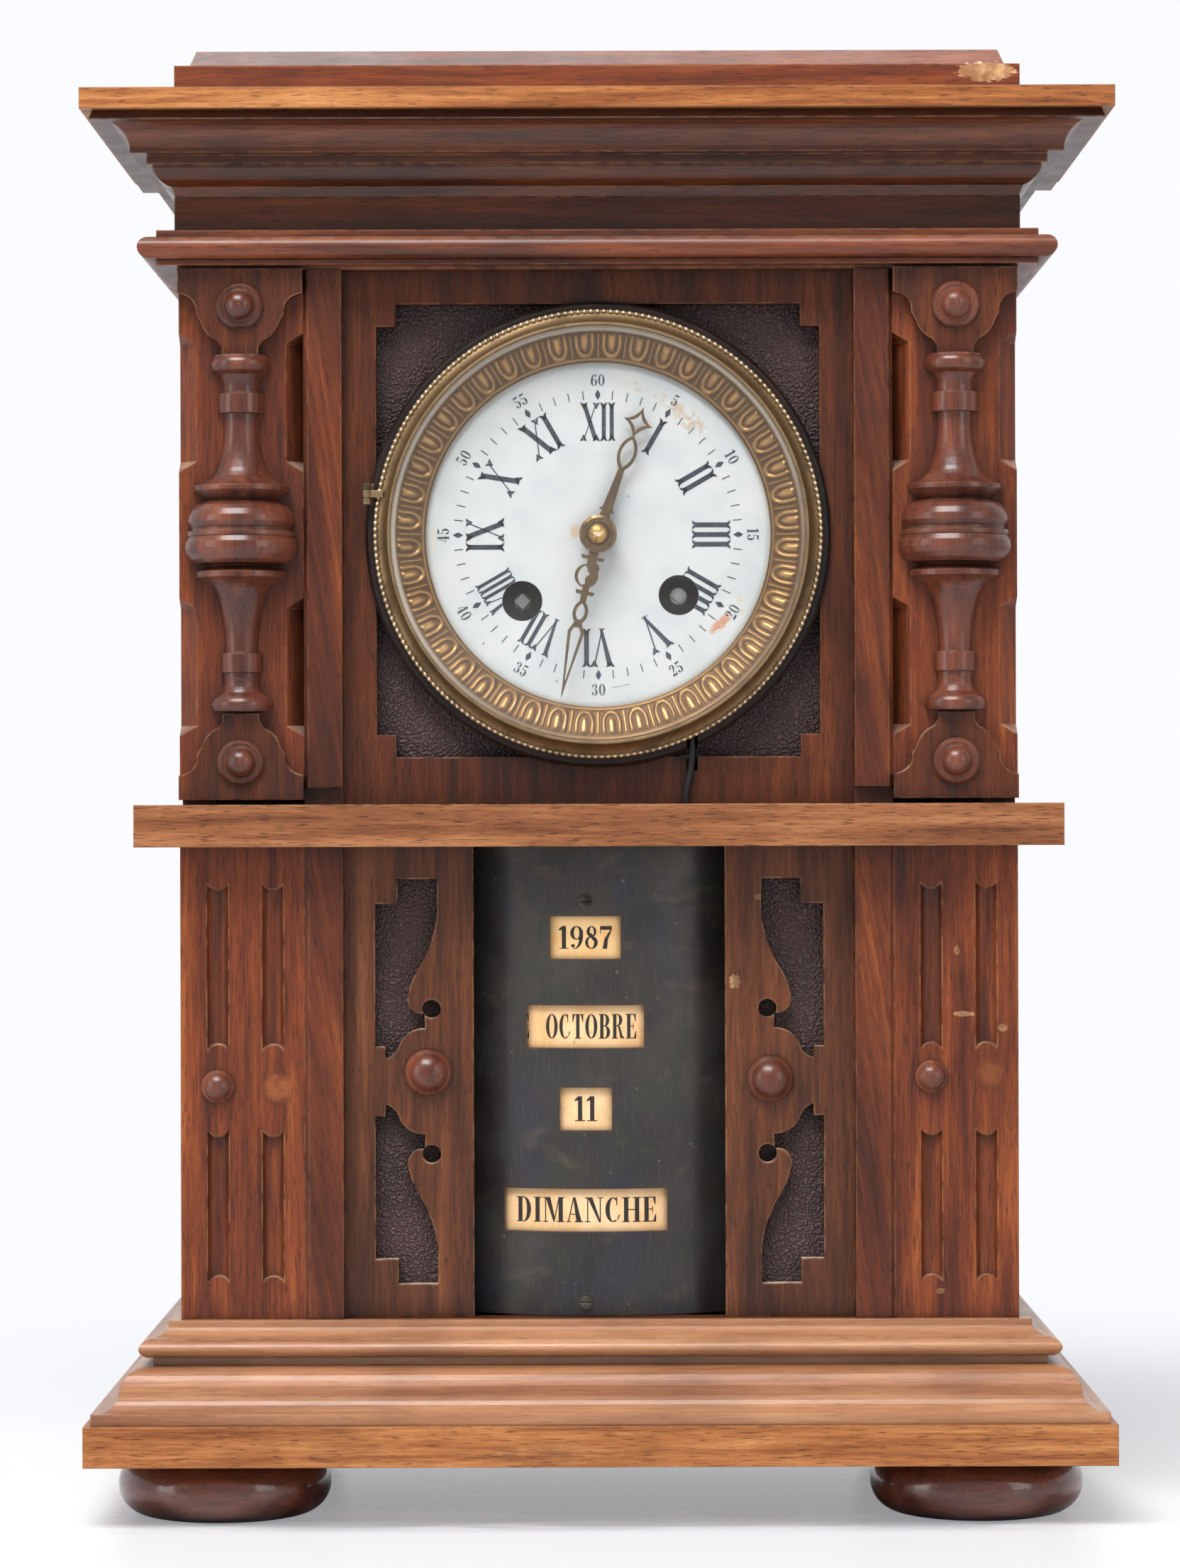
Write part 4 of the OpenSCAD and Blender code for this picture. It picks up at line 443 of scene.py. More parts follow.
def plate():
    """Brass front plate, painted black round the winding arbors as painted shade, where the dial's
    holes look in.
    """
    s = Shade("front_plate")
    x, _, z = s.xyz()
    cloud = s.noise(s.map(150), detail=4, distort=0.4)
    colour = s.over(srgb(196, 158, 96), s.step(cloud, 0.42, 0.68), 0.5, (92, 64, 34))
    # black rings round the arbors: painted shade seen through the dial's winding holes
    hole_shade_out, hole_shade_in = 10.5, 7.5
    hole_shade = 0.0
    for node in ("going_arbor", "strike_barrel"):
        lo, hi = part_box(node)
        u, v = s.minus(x, (lo.x + hi.x) / 2), s.minus(z, (lo.z + hi.z) / 2)
        r = s.math("SQRT", s.squares(u, v))
        hole_shade = s.math("MAXIMUM", hole_shade, s.step(r, hole_shade_out * MM, hole_shade_in * MM))
    s.set(Base_Color=s.mix(hole_shade, colour, srgb(16, 12, 12)), Metallic=s.minus(1.0, hole_shade),
          Roughness=s.plus(0.3, s.times(hole_shade, 0.4)))
    return s.mat


coat("movement_front_plate", plate())


def sheet_iron():
    """The calendar's mask: blackened sheet with brown wear, a cool bloom and worn window edges."""
    s = Shade("black_sheet")
    cloud = s.noise(s.map(36), detail=4, distort=0.6)
    cool = s.noise(s.map(70, (4, 0, 2)), detail=4)
    colour = s.ramp(cloud, (0.3, srgb(44, 41, 40)), (0.5, srgb(56, 52, 49)),
                    (0.7, srgb(72, 66, 61)))
    colour = s.over(colour, s.step(cool, 0.48, 0.7), 0.5, (50, 57, 50))
    blue = s.noise(s.map((70, 70, 26), (9, 0, 0)), distort=0.4)
    colour = s.over(colour, s.step(blue, 0.52, 0.7), 0.4, (46, 48, 66))
    brown = s.noise(s.map((60, 60, 130), (0, 0, 7)), detail=4, distort=0.6)
    colour = s.over(colour, s.step(brown, 0.58, 0.76), 0.4, (98, 82, 68))
    fleck = s.noise(s.map(520, (1, 0, 0)), detail=3)
    colour = s.over(colour, s.step(fleck, 0.7, 0.76), 0.4, (140, 132, 124))
    weave = s.noise(s.map((2600, 2600, 160)), detail=2)
    colour = s.over(colour, s.step(weave, 0.5, 0.75), 0.2, (96, 90, 84))
    normal, worn = s.edges(0.0005)
    colour = s.over(colour, worn, 0.75, (120, 82, 54))
    s.set(Base_Color=colour, Metallic=0.35, Roughness=s.spread(cool, 0.34, 0.56),
          Normal=s.bump(s.noise(s.map(600), detail=3), 0.25, 0.0002, normal))
    return s.mat


coat("calendar_mask", sheet_iron())
coat("mask_screws", metal("dark_screw", (92, 84, 78), (40, 34, 30), rough=0.4, patina=0.7))


def label(name, base, patch, seed):
    """Old printed paper glued round a drum: warm and mottled, darker and browner where it goes out
    of sight, as painted shade.
    """
    s = Shade(name)
    fibre = s.noise(s.map((1400, 1400, 500), (seed, 0, 0)), detail=3)
    cloud = s.noise(s.map(120, (0, seed, 0)), detail=4)
    colour = s.mix(s.step(cloud, 0.35, 0.7), srgb(*base), srgb(*patch))
    colour = s.over(colour, s.step(fibre, 0.4, 0.7), 0.22, (255, 226, 184))
    fox = s.noise(s.map(330, (seed, seed, 0)), detail=2)
    colour = s.over(colour, s.step(fox, 0.68, 0.78), 0.55, (150, 92, 48))
    # brown painted shade where the paper goes in under the mask
    colour = s.over(colour, s.hollow(0.006), 0.75, (120, 66, 34))
    s.set(Base_Color=colour, Roughness=0.72, Normal=s.bump(fibre, 0.3, 0.0001))
    return s.mat


PAPERS = [
    # node, paper, its darker patches
    ("year_drum", (255, 212, 148), (248, 186, 116)),
    ("month_drum", (242, 200, 146), (232, 180, 120)),
    ("date_drum", (242, 202, 152), (230, 184, 126)),
    ("weekday_drum", (242, 206, 158), (232, 186, 130)),
]
for i, (node, base, patch) in enumerate(PAPERS):
    coat(node, label(node + "_paper", base, patch, 3.0 * i + 1))

STAINS = [
    # x and z from the dial's centre, half width, half height, colour, amount,
    # where its grit begins and is full, turn in radians
    (26, 33, 9.5, 3.4, (196, 162, 130), 0.75, 0.42, 0.6, -0.75),
    (11, 42.5, 5, 1.8, (206, 178, 146), 0.6, 0.42, 0.6, -0.25),
    (19, 38.5, 5, 2.2, (206, 178, 150), 0.5, 0.42, 0.6, -0.5),
    (-5, 36, 1.6, 1.2, (224, 200, 178), 0.6, 0.3, 0.5, 0.0),
    (35, -25.5, 5, 1.9, (206, 130, 86), 0.85, 0.38, 0.52, 0.75),
    (41, -20, 1.4, 3.5, (222, 186, 150), 0.6, 0.42, 0.6, 0.3),
    (-6.7, 1.1, 1.7, 2.6, (226, 170, 130), 0.7, 0.3, 0.5, 0.0),
    (-47, -1.5, 0.6, 6, (232, 200, 160), 0.6, 0.3, 0.5, 0.0),
    (-14.9, -24.8, 3.2, 1.2, (200, 160, 120), 0.35, 0.42, 0.6, 0.5),
]


def enamel():
    """Fired white enamel with stains at the rim, by the centre and by the left winding hole."""
    s = Shade("enamel")
    r, _ = s.radius()
    x, _, z = s.xyz()
    cloud = s.noise(s.map(60), detail=3)
    grit = s.noise(s.map(520), detail=3, distort=0.8)
    colour = s.mix(s.step(cloud, 0.4, 0.65), srgb(216, 213, 215), srgb(206, 206, 210))
    rim = s.step(s.plus(r, s.times(s.minus(grit, 0.5), 1.6 * MM)), 47.6 * MM, 49.3 * MM)
    colour = s.over(colour, rim, 0.35, (196, 170, 140))
    for cx, cz, rx, rz, tint, amount, lo, hi, turn in STAINS:
        px, pz = s.minus(x, cx * MM), s.minus(z, (DIAL_Z + cz) * MM)
        c, sn = math.cos(turn), math.sin(turn)
        u = s.math("DIVIDE", s.plus(s.times(px, c), s.times(pz, sn)), rx * MM)
        v = s.math("DIVIDE", s.minus(s.times(pz, c), s.times(px, sn)), rz * MM)
        f = s.times(s.step(s.squares(u, v), 1.0, 0.15), s.step(grit, lo, hi))
        colour = s.over(colour, f, amount, tint)
    # grey painted shade in hollows, such as at the bezel's edge and round the winding holes
    colour = s.over(colour, s.hollow(0.006), 0.55, (120, 116, 116))
    s.set(Base_Color=colour, Roughness=0.16, Specular_IOR_Level=0.5, Coat_Weight=0.3,
          Coat_Roughness=0.05, Normal=s.bump(cloud, 0.06, 0.0006))
    return s.mat


coat("enamel_dial", enamel())


def glass():
    """Thin clear glass: what it mirrors is laid over what is behind it, with a faint haze all over
    and a pale painted reflection at its rim, strongest at the top.
    """
    s = Shade("glass")
    fresnel = s.add("Fresnel", IOR=1.5)
    mirror = s.add("BsdfGlossy", 0, Color=(1, 1, 1, 1), Roughness=0.04)
    clear = s.add("BsdfTransparent", 0, Color=srgb(252, 254, 253))
    seen = s.minus(1.0, s.add("LightPath", "Is Shadow Ray"))
    r, a = s.radius()
    # painted reflection: a pale band at the rim, stronger over the upper part
    upper = s.step(s.math("ABSOLUTE", s.plus(a, 0.6)), 2.4, 1.2)
    rim = s.times(s.step(r, 57.2 * MM, 58.6 * MM), s.plus(0.06, s.times(upper, 0.26)))
    haze_and_reflection = s.plus(0.012, rim)
    haze_and_reflection_shader = s.add("MixShader", 0, i0=s.times(haze_and_reflection, seen), i1=clear,
                  i2=s.add("BsdfDiffuse", 0, Color=srgb(236, 226, 212)))
    amount = s.times(s.times(fresnel, 0.6), seen)
    s.surface(s.add("MixShader", 0, i0=amount, i1=haze_and_reflection_shader, i2=mirror))
    s.tree.nodes.remove(s.bsdf)
    return s.mat


coat("bezel_glass", glass())


# Drawn meshes
def solid(name, verts, faces, mat, smooth=False):
    """A piece from points in mm, its faces turned outward."""
    mesh = bpy.data.meshes.new(name)
    mesh.from_pydata([Vector(v) * MM for v in verts], [], faces)
    bm = bmesh.new()
    bm.from_mesh(mesh)
    bmesh.ops.recalc_face_normals(bm, faces=bm.faces)
    bm.to_mesh(mesh)
    bm.free()
    mesh.polygons.foreach_set("use_smooth", [smooth] * len(mesh.polygons))
    mesh.materials.append(mat)
    obj = bpy.data.objects.new(name, mesh)
    scene.collection.objects.link(obj)
    return obj


T, H = 0.17, 0.035          # thick and thin strokes of a letter 1 high
TOP = 1 - H


def arc(cx, cy, rx, ry, a0, a1, n=14):
    """Points of an ellipse between two angles in degrees."""
    return [(cx + rx * math.cos(math.radians(a0 + (a1 - a0) * i / n)),
             cy + ry * math.sin(math.radians(a0 + (a1 - a0) * i / n))) for i in range(n + 1)]


def bowl(cx, cy, rx, ry, a0, a1, thick, thin=H):
    """A curved stroke, thick at its sides and thin at top and bottom."""
    return arc(cx, cy, rx, ry, a0, a1) + arc(cx, cy, rx - thick, ry - thin, a1, a0)


def oval(cx, cy, rx, ry, right, left):
    """Two bowls that make a ring, with the thickness of its right and left side."""
    return [bowl(cx, cy, rx, ry, -90, 90, right), bowl(cx, cy, rx, ry, 90, 270, left)]


def box(x0, y0, x1, y1):
    return [(x0, y0), (x1, y0), (x1, y1), (x0, y1)]


def stem(x):
    """A thick upright with thin feet at both ends."""
    return [box(x, 0, x + T, 1), box(x - 0.07, 0, x + T + 0.07, H),
            box(x - 0.07, TOP, x + T + 0.07, 1)]


def disc(cx, cy, r):
    return arc(cx, cy, r, r, 0, 345, 12)


def glyph(c):
    """Width and outlines of one letter or figure, 1 high, in an old fat-face style."""
    if c == "A":
        return 0.66, [[(0.4, 0), (0.6, 0), (0.36, 1), (0.27, 1)],
                      [(0.06, 0), (0.1, 0), (0.31, 1), (0.27, 1)], box(0.14, 0.3, 0.5, 0.335),
                      box(0, 0, 0.18, H), box(0.34, 0, 0.66, H)]
    if c == "B":
        return 0.6, stem(0.07) + [bowl(0.3, 0.75, 0.24, 0.25, -90, 90, T),
                                  box(0.2, TOP, 0.3, 1), box(0.2, 0.5, 0.32, 0.535),
                                  bowl(0.32, 0.265, 0.26, 0.265, -90, 90, T),
                                  box(0.2, 0, 0.32, H)]
    if c == "C":
        return 0.6, [bowl(0.31, 0.5, 0.3, 0.5, 60, 300, T), box(0.44, 0.68, 0.475, 1),
                     [(0.46, 0.9), (0.4, 0.96), (0.47, 0.68)],
                     arc(0.31, 0.5, 0.3, 0.5, 300, 335, 4) + [(0.54, 0.3)]]
    if c == "D":
        return 0.64, stem(0.07) + [bowl(0.3, 0.5, 0.3, 0.5, -90, 90, T), box(0.2, 0, 0.3, H),
                                   box(0.2, TOP, 0.3, 1)]
    if c in "EF":
        s = stem(0.07) + [box(0.2, TOP, 0.52, 1), box(0.2, 0.49, 0.4, 0.525),
                          box(0.38, 0.38, 0.41, 0.63),
                          [(0.52, 1), (0.52, 0.7), (0.49, 0.7), (0.42, 0.97)]]
        if c == "E":
            s += [box(0.2, 0, 0.54, H), [(0.54, 0), (0.54, 0.3), (0.51, 0.3), (0.43, 0.03)]]
        return 0.58, s
    if c == "H":
        return 0.74, stem(0.07) + stem(0.5) + [box(0.2, 0.48, 0.54, 0.515)]
    if c == "I":
        return 0.32, stem(0.075)
    if c == "J":
        return 0.42, [box(0.18, 0.2, 0.35, 1), box(0.11, TOP, 0.42, 1),
                      bowl(0.18, 0.2, 0.17, 0.2, 180, 360, 0.05), disc(0.07, 0.24, 0.065)]
    if c == "L":
        return 0.54, stem(0.07) + [box(0.2, 0, 0.52, H),
                                   [(0.52, 0), (0.52, 0.34), (0.49, 0.34), (0.4, 0.03)]]
    if c == "M":
        return 0.86, [box(0.08, 0, 0.12, 1), box(0.0, 0, 0.2, H), box(0.0, TOP, 0.14, 1),
                      [(0.1, 1), (0.29, 1), (0.46, 0.2), (0.42, 0)],
                      [(0.42, 0), (0.455, 0), (0.66, 1), (0.62, 1)],
                      box(0.62, 0, 0.79, 1), box(0.55, 0, 0.86, H), box(0.62, TOP, 0.86, 1)]
    if c == "N":
        return 0.72, [box(0.09, 0, 0.13, 1), box(0, 0, 0.22, H), box(0, TOP, 0.2, 1),
                      [(0.1, 1), (0.29, 1), (0.62, 0), (0.55, 0)], box(0.58, 0, 0.62, 1),
                      box(0.5, TOP, 0.71, 1)]
    if c == "O":
        return 0.64, oval(0.32, 0.5, 0.31, 0.5, T, T)
    if c == "P":
        return 0.58, stem(0.07) + [bowl(0.3, 0.73, 0.26, 0.27, -90, 90, T),
                                   box(0.2, TOP, 0.3, 1), box(0.2, 0.46, 0.3, 0.495)]
    if c == "R":
        return 0.66, stem(0.07) + [bowl(0.3, 0.755, 0.25, 0.245, -90, 90, T),
                                   box(0.2, TOP, 0.3, 1), box(0.2, 0.51, 0.32, 0.545),
                                   [(0.3, 0.53), (0.42, 0.5), (0.56, 0.1), (0.65, 0.04),
                                    (0.63, 0), (0.44, 0.02), (0.38, 0.3)]]
    if c == "S":
        return 0.54, [bowl(0.27, 0.74, 0.23, 0.26, 75, 200, 0.12),
                      bowl(0.26, 0.26, 0.26, 0.26, -105, 20, 0.14),
                      [(0.05, 0.66), (0.17, 0.74), (0.5, 0.36), (0.4, 0.22)],
                      box(0.44, 0.7, 0.475, 1),
                      [(0.32, 0.97), (0.32, 1), (0.46, 0.93), (0.45, 0.72)],
                      box(0.05, 0, 0.085, 0.32),
                      [(0.2, 0.0), (0.2, 0.035), (0.08, 0.3), (0.07, 0.06)]]
    if c == "T":
        return 0.62, [box(0.225, 0, 0.395, 1), box(0.15, 0, 0.47, H), box(0.03, TOP, 0.59, 1),
                      [(0.03, 1), (0.03, 0.68), (0.06, 0.68), (0.15, 0.97)],
                      [(0.59, 1), (0.59, 0.68), (0.56, 0.68), (0.47, 0.97)]]
    if c == "U":
        return 0.68, [box(0.08, 0.26, 0.25, 1), box(0, TOP, 0.33, 1), box(0.52, 0.26, 0.56, 1),
                      box(0.44, TOP, 0.66, 1), bowl(0.32, 0.26, 0.24, 0.26, 180, 360, 0.1, 0.06)]
    if c == "V":
        return 0.68, [[(0.07, 1), (0.27, 1), (0.42, 0.2), (0.37, 0)],
                      [(0.36, 0), (0.4, 0), (0.6, 1), (0.56, 1)],
                      box(0, TOP, 0.34, 1), box(0.46, TOP, 0.68, 1)]
    if c == "0":
        return 0.56, oval(0.28, 0.5, 0.27, 0.5, 0.15, 0.15)
    if c == "1":
        return 0.42, [box(0.14, 0, 0.31, 1), box(0.03, 0, 0.42, H),
                      [(0.14, 1), (0.14, 0.84), (0, 0.8), (0, 0.84)]]
    if c == "2":
        return 0.52, [bowl(0.26, 0.75, 0.23, 0.25, -25, 150, 0.15), disc(0.11, 0.74, 0.085),
                      [(0.33, 0.68), (0.48, 0.66), (0.3, 0.36), (0.1, 0.14), (0.02, 0),
                       (0.06, 0.0), (0.2, 0.3)],
                      [(0.02, 0), (0.5, 0), (0.5, 0.1), (0.4, 0.16), (0.1, 0.16)],
                      box(0.46, 0, 0.5, 0.3)]
    if c == "3":
        return 0.52, [bowl(0.24, 0.77, 0.22, 0.23, -70, 140, 0.13),
                      bowl(0.24, 0.27, 0.26, 0.27, -140, 75, 0.16),
                      box(0.15, 0.52, 0.3, 0.55), disc(0.1, 0.79, 0.08), disc(0.09, 0.2, 0.08)]
    if c == "4":
        return 0.56, [box(0.29, 0, 0.44, 1), box(0.2, 0, 0.53, H), box(0.0, 0.26, 0.55, 0.3),
                      [(0, 0.26), (0.035, 0.26), (0.34, 1), (0.3, 1)]]
    if c == "5":
        return 0.52, [bowl(0.24, 0.31, 0.26, 0.31, -140, 125, 0.16), box(0.07, 0.5, 0.1, 1),
                      [(0.07, 0.86), (0.4, 0.86), (0.46, 1), (0.07, 1)], disc(0.09, 0.2, 0.08)]
    if c == "6":
        return 0.54, [bowl(0.28, 0.3, 0.26, 0.3, -90, 90, 0.15),
                      bowl(0.28, 0.3, 0.27, 0.3, 90, 270, 0.15),
                      bowl(0.36, 0.42, 0.35, 0.58, 75, 190, 0.15), disc(0.43, 0.86, 0.075)]
    if c == "7":
        return 0.52, [[(0.02, 0.84), (0.5, 0.84), (0.5, 1), (0.02, 1)], box(0.02, 0.68, 0.05, 1),
                      [(0.12, 0), (0.3, 0), (0.34, 0.4), (0.5, 0.84), (0.46, 0.86), (0.2, 0.45)]]
    if c == "8":
        return 0.54, (oval(0.27, 0.76, 0.2, 0.24, 0.1, 0.13)
                      + oval(0.27, 0.28, 0.26, 0.28, 0.15, 0.12)
                      + [[(0.12, 0.64), (0.25, 0.7), (0.47, 0.42), (0.34, 0.36)]])
    if c == "9":
        return 0.54, [[(0.54 - x, 1 - y) for x, y in p] for p in glyph("6")[1]]
    return 0.3, []


def lay_out(text, height, gap=0.07):
    """Outlines of a word centred on x = 0, its foot at y = -height / 2."""
    x, shapes = 0.0, []
    for c in text:
        w, parts = glyph(c)
        shapes += [[(px + x, py) for px, py in p] for p in parts]
        x += w + gap
    middle = (x - gap) / 2
    return [[((px - middle) * height, (py - 0.5) * height) for px, py in p] for p in shapes]


def ink(name, shapes, place, mat, thick=0.06):
    """Thin slabs from flat outlines; place(x, y, lift) puts a point on its surface."""
    verts, faces = [], []
    for p in shapes:
        base, n = len(verts), len(p)
        verts += [place(px, py, 0.0) for px, py in p] + [place(px, py, thick) for px, py in p]
        for tri in tessellate_polygon([[Vector((px, py, 0)) for px, py in p]]):
            faces += [tuple(base + i for i in tri), tuple(base + n + i for i in reversed(tri))]
        faces += [(base + i, base + (i + 1) % n, base + n + (i + 1) % n, base + n + i)
                  for i in range(n)]
    return solid(name, verts, faces, mat)


def printed(name, colour, rough, fade=0.3, pale=(120, 110, 110), seed=0.0):
    """Ink that has worn paler in small patches."""
    s = Shade(name)
    wear = s.step(s.noise(s.map(900, (seed, 0, 0)), detail=3), 0.46, 0.72)
    s.set(Base_Color=s.over(srgb(*colour), wear, fade, pale),
          Roughness=s.plus(rough, s.times(wear, 0.15)))
    return s.mat


dial_ink = printed("dial_ink", (38, 46, 62), 0.28, 0.35, (92, 104, 122))
drum_ink = printed("drum_ink", (26, 18, 16), 0.6, 0.28, (92, 60, 40), seed=4)


def on_dial(angle, radius, flip=False):
    """A place on the enamel: x runs clockwise, y outward, or both the other way."""
    a = math.radians(angle)
    side = Vector((math.cos(a), 0, -math.sin(a)))
    out = Vector((math.sin(a), 0, math.cos(a)))
    s = -1 if flip else 1
    return lambda x, y, lift: (out * (radius + s * y) + side * (s * x)
                               + Vector((0, ENAMEL_Y - lift, DIAL_Z)))


def fork(x, y, w, up):
    """The split, spread end of a stroke."""
    s = 1 if up else -1
    return [[(x - 0.06, y), (x + w * 0.4, y - s * 0.17), (x + w * 0.64, y - s * 0.17),
             (x + w * 0.3, y - s * 0.02)],
            [(x + w + 0.06, y), (x + w * 0.6, y - s * 0.17), (x + w * 0.36, y - s * 0.17),
             (x + w * 0.7, y - s * 0.02)]]


def roman(text):
    """Width and outlines of a tall condensed Roman numeral, 1 high, with forked ends."""
    x, shapes = 0.0, []
    thick, gap = 0.125, 0.125
    for c in text:
        if c == "I":
            shapes += [box(x, 0.05, x + thick, 0.95)]
            shapes += fork(x, 1, thick, True) + fork(x, 0, thick, False)
            x += thick + gap
        elif c == "V":
            shapes += [[(x, 0.97), (x + 0.14, 0.97), (x + 0.33, 0.05), (x + 0.27, 0)],
                       [(x + 0.25, 0.0), (x + 0.29, 0.02), (x + 0.49, 0.97), (x + 0.455, 0.97)]]
            shapes += fork(x, 1, thick, True) + fork(x + 0.43, 1, thick * 0.8, True)
            shapes += [box(x + 0.2, 0, x + 0.36, 0.025)]
            x += 0.49 + gap
        elif c == "X":
            shapes += [[(x, 0.97), (x + 0.14, 0.97), (x + 0.5, 0.03), (x + 0.36, 0.03)],
                       [(x + 0.04, 0.03), (x + 0.07, 0.03), (x + 0.46, 0.97), (x + 0.43, 0.97)]]
            shapes += fork(x, 1, thick, True) + fork(x + 0.39, 0, thick, False)
            shapes += fork(x, 0, thick * 0.8, False) + fork(x + 0.4, 1, thick * 0.8, True)
            x += 0.5 + gap
    return x - gap, shapes


# Marks on the dial, with radii and heights in mm
HOUR_IN, HOUR_OUT = 26.8, 37.9
WIDEST_HOUR = 0.82          # share of its height past which a numeral is narrowed
MINUTE_R = 40.1
FIGURE_R, FIGURE_H = 44.3, 3.3
HOLE_R, HOLE_SIDES = 5.8, 64
CUT_MARKS = {               # numerals that the winding holes cut
    "strike_barrel": ("numeral_4", "numeral_3", "numeral_5"),
    "going_arbor": ("numeral_8", "numeral_7"),
}
marks = []
HOURS = ["XII", "I", "II", "III", "IIII", "V", "VI", "VII", "VIII", "IX", "X", "XI"]
for h, text in enumerate(HOURS):
    total, shapes = roman(text)
    size = HOUR_OUT - HOUR_IN
    narrow = size * min(1.0, WIDEST_HOUR / total)
    shapes = [[((px - total / 2) * narrow, (py - 0.5) * size) for px, py in p] for p in shapes]
    marks.append(ink("numeral_" + str(h), shapes, on_dial(30 * h, (HOUR_IN + HOUR_OUT) / 2),
                     dial_ink))
for m in range(60):
    shape = [box(-0.13, -1.25, 0.13, 1.25)] if m % 5 else [
        [(0, -1.5), (0.72, -0.25), (0.72, 0.25), (0, 1.5), (-0.72, 0.25), (-0.72, -0.25)]]
    marks.append(ink("minute_mark_" + str(m), shape, on_dial(6 * m, MINUTE_R), dial_ink))
    if m % 5 == 0:
        figure = str(m or 60)
        marks.append(ink("minute_figure_" + figure, lay_out(figure, FIGURE_H, gap=0.1),
                         on_dial(6 * m, FIGURE_R, 120 <= 6 * m <= 240), dial_ink))

for node, names in CUT_MARKS.items():
    lo, hi = (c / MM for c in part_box(node))
    cx, cz = (lo.x + hi.x) / 2, (lo.z + hi.z) / 2
    n = HOLE_SIDES
    verts = [(cx + HOLE_R * math.cos(2 * math.pi * i / n), y,
              cz + HOLE_R * math.sin(2 * math.pi * i / n))
             for y in (ENAMEL_Y - 1, ENAMEL_Y + 1) for i in range(n)]
    faces = [(i, (i + 1) % n, n + (i + 1) % n, n + i) for i in range(n)]
    cutter = solid("hole", verts, [tuple(range(n)), tuple(range(2 * n - 1, n - 1, -1))] + faces,
                   dial_ink)
    for piece in marks:
        if piece.name in names:
            cut = piece.modifiers.new("hole", "BOOLEAN")
            cut.object, cut.operation, cut.use_self = cutter, "DIFFERENCE", True
            flat = bpy.data.meshes.new_from_object(
                piece.evaluated_get(bpy.context.evaluated_depsgraph_get()))
            piece.modifiers.clear()
            piece.data = flat
    bpy.data.objects.remove(cutter)


def at_dial(cx, cz):
    """An upright place on the enamel, from the dial's centre."""
    return lambda x, y, lift: (cx + x, ENAMEL_Y - lift, DIAL_Z + cz + y)


flaw = printed("hairline", (150, 142, 138), 0.4)
marks.append(ink("hairline", [[(-2.6, -0.5), (-2.6, -0.38), (2.6, 0.62), (2.6, 0.5)]],
                 at_dial(6.4, -43.3), flaw))
for i, (cx, cz) in enumerate([(-32.9, -31), (-11.9, -41.9), (8.7, 11)]):
    marks.append(ink("dot_" + str(i), [disc(0, 0, 0.32)], at_dial(cx, cz), flaw))
for piece in marks:
    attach(piece, "case")


def on_drum(z, turn):
    """A place on a drum's paper: x runs to the right as seen from the front."""
    def place(x, y, lift):
        a = x / DRUM_R + turn
        r = DRUM_R + lift
        return (r * math.sin(a), DRUM_Y - r * math.cos(a), z + y)
    return place


def curve(shapes):
    """Sides split into lengths under 1 mm across, so that they can bend round a drum."""
    out = []
    for p in shapes:
        q = []
        for (x0, y0), (x1, y1) in zip(p, p[1:] + p[:1]):
            n = int(abs(x1 - x0)) + 1
            q += [(x0 + (x1 - x0) * i / n, y0 + (y1 - y0) * i / n) for i in range(n)]
        out.append(q)
    return out


WINDOW_X = -4.0         # middle of the mask's windows, along the drum
WORD_THICK = 0.04
MONTHS = ["JANVIER", "FEVRIER", "MARS", "AVRIL", "MAI", "JUIN", "JUILLET", "AOUT", "SEPTEMBRE",
          "OCTOBRE", "NOVEMBRE", "DECEMBRE"]
DAYS = ["LUNDI", "MARDI", "MERCREDI", "JEUDI", "VENDREDI", "SAMEDI", "DIMANCHE"]
DRUMS = [
    # node, words, word shown, height, widest, shift of the words
    ("year_drum", [str(1980 + i) for i in range(10)], 7, 6.5, 15.2, 0.0),
    ("month_drum", MONTHS, 9, 7.0, 25.9, 1.6),
    ("date_drum", [str(i + 1) for i in range(31)], 10, 7.1, 8.4, 0.0),
    ("weekday_drum", DAYS, 6, 7.1, 40.6, 0.0),
]
for node, words, shown, height, widest, shift in DRUMS:
    lo, hi = (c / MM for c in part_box(node))
    mid = (lo.z + hi.z) / 2
    for i, word in enumerate(words):
        shapes = lay_out(word, height)
        wide = max(px for p in shapes for px, _ in p) * 2
        # long words are narrowed, and the word shown fills its width, but for the date
        fit = widest / wide if wide > widest or i == shown and node != "date_drum" else 1.0
        shapes = [[(px * fit, py) for px, py in p] for p in shapes]
        turn = (i - shown) * 2 * math.pi / len(words) + (WINDOW_X + shift) / DRUM_R
        piece = ink(node + "_word_" + str(i), curve(shapes), on_drum(mid, turn), drum_ink,
                    WORD_THICK)
        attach(piece, node)


# Bezel dressing
def pearls():
    """The rim of the bezel: a ring of small domes on its flat."""
    count, r, size = 215, 63.5, 0.76
    rings, sides = 5, 8
    deep = 1.25         # each dome goes on past its widest ring by a quarter
    verts, faces = [], []
    for k in range(count):
        a = 2 * math.pi * k / count
        c = Vector((r * math.sin(a), LEDGE_Y + 0.1, DIAL_Z + r * math.cos(a)))
        base = len(verts)
        for i in range(rings + 1):
            p = math.pi / 2 * (i / rings) * deep
            for j in range(sides):
                q = 2 * math.pi * j / sides
                verts.append(c + size * Vector((math.sin(p) * math.cos(q), -math.cos(p),
                                                math.sin(p) * math.sin(q))))
        for i in range(rings):
            for j in range(sides):
                a0, a1 = base + i * sides + j, base + i * sides + (j + 1) % sides
                faces.append((a0, a1, a1 + sides, a0 + sides))
    return solid("pearl_ring", verts, faces, pearl_brass, True)


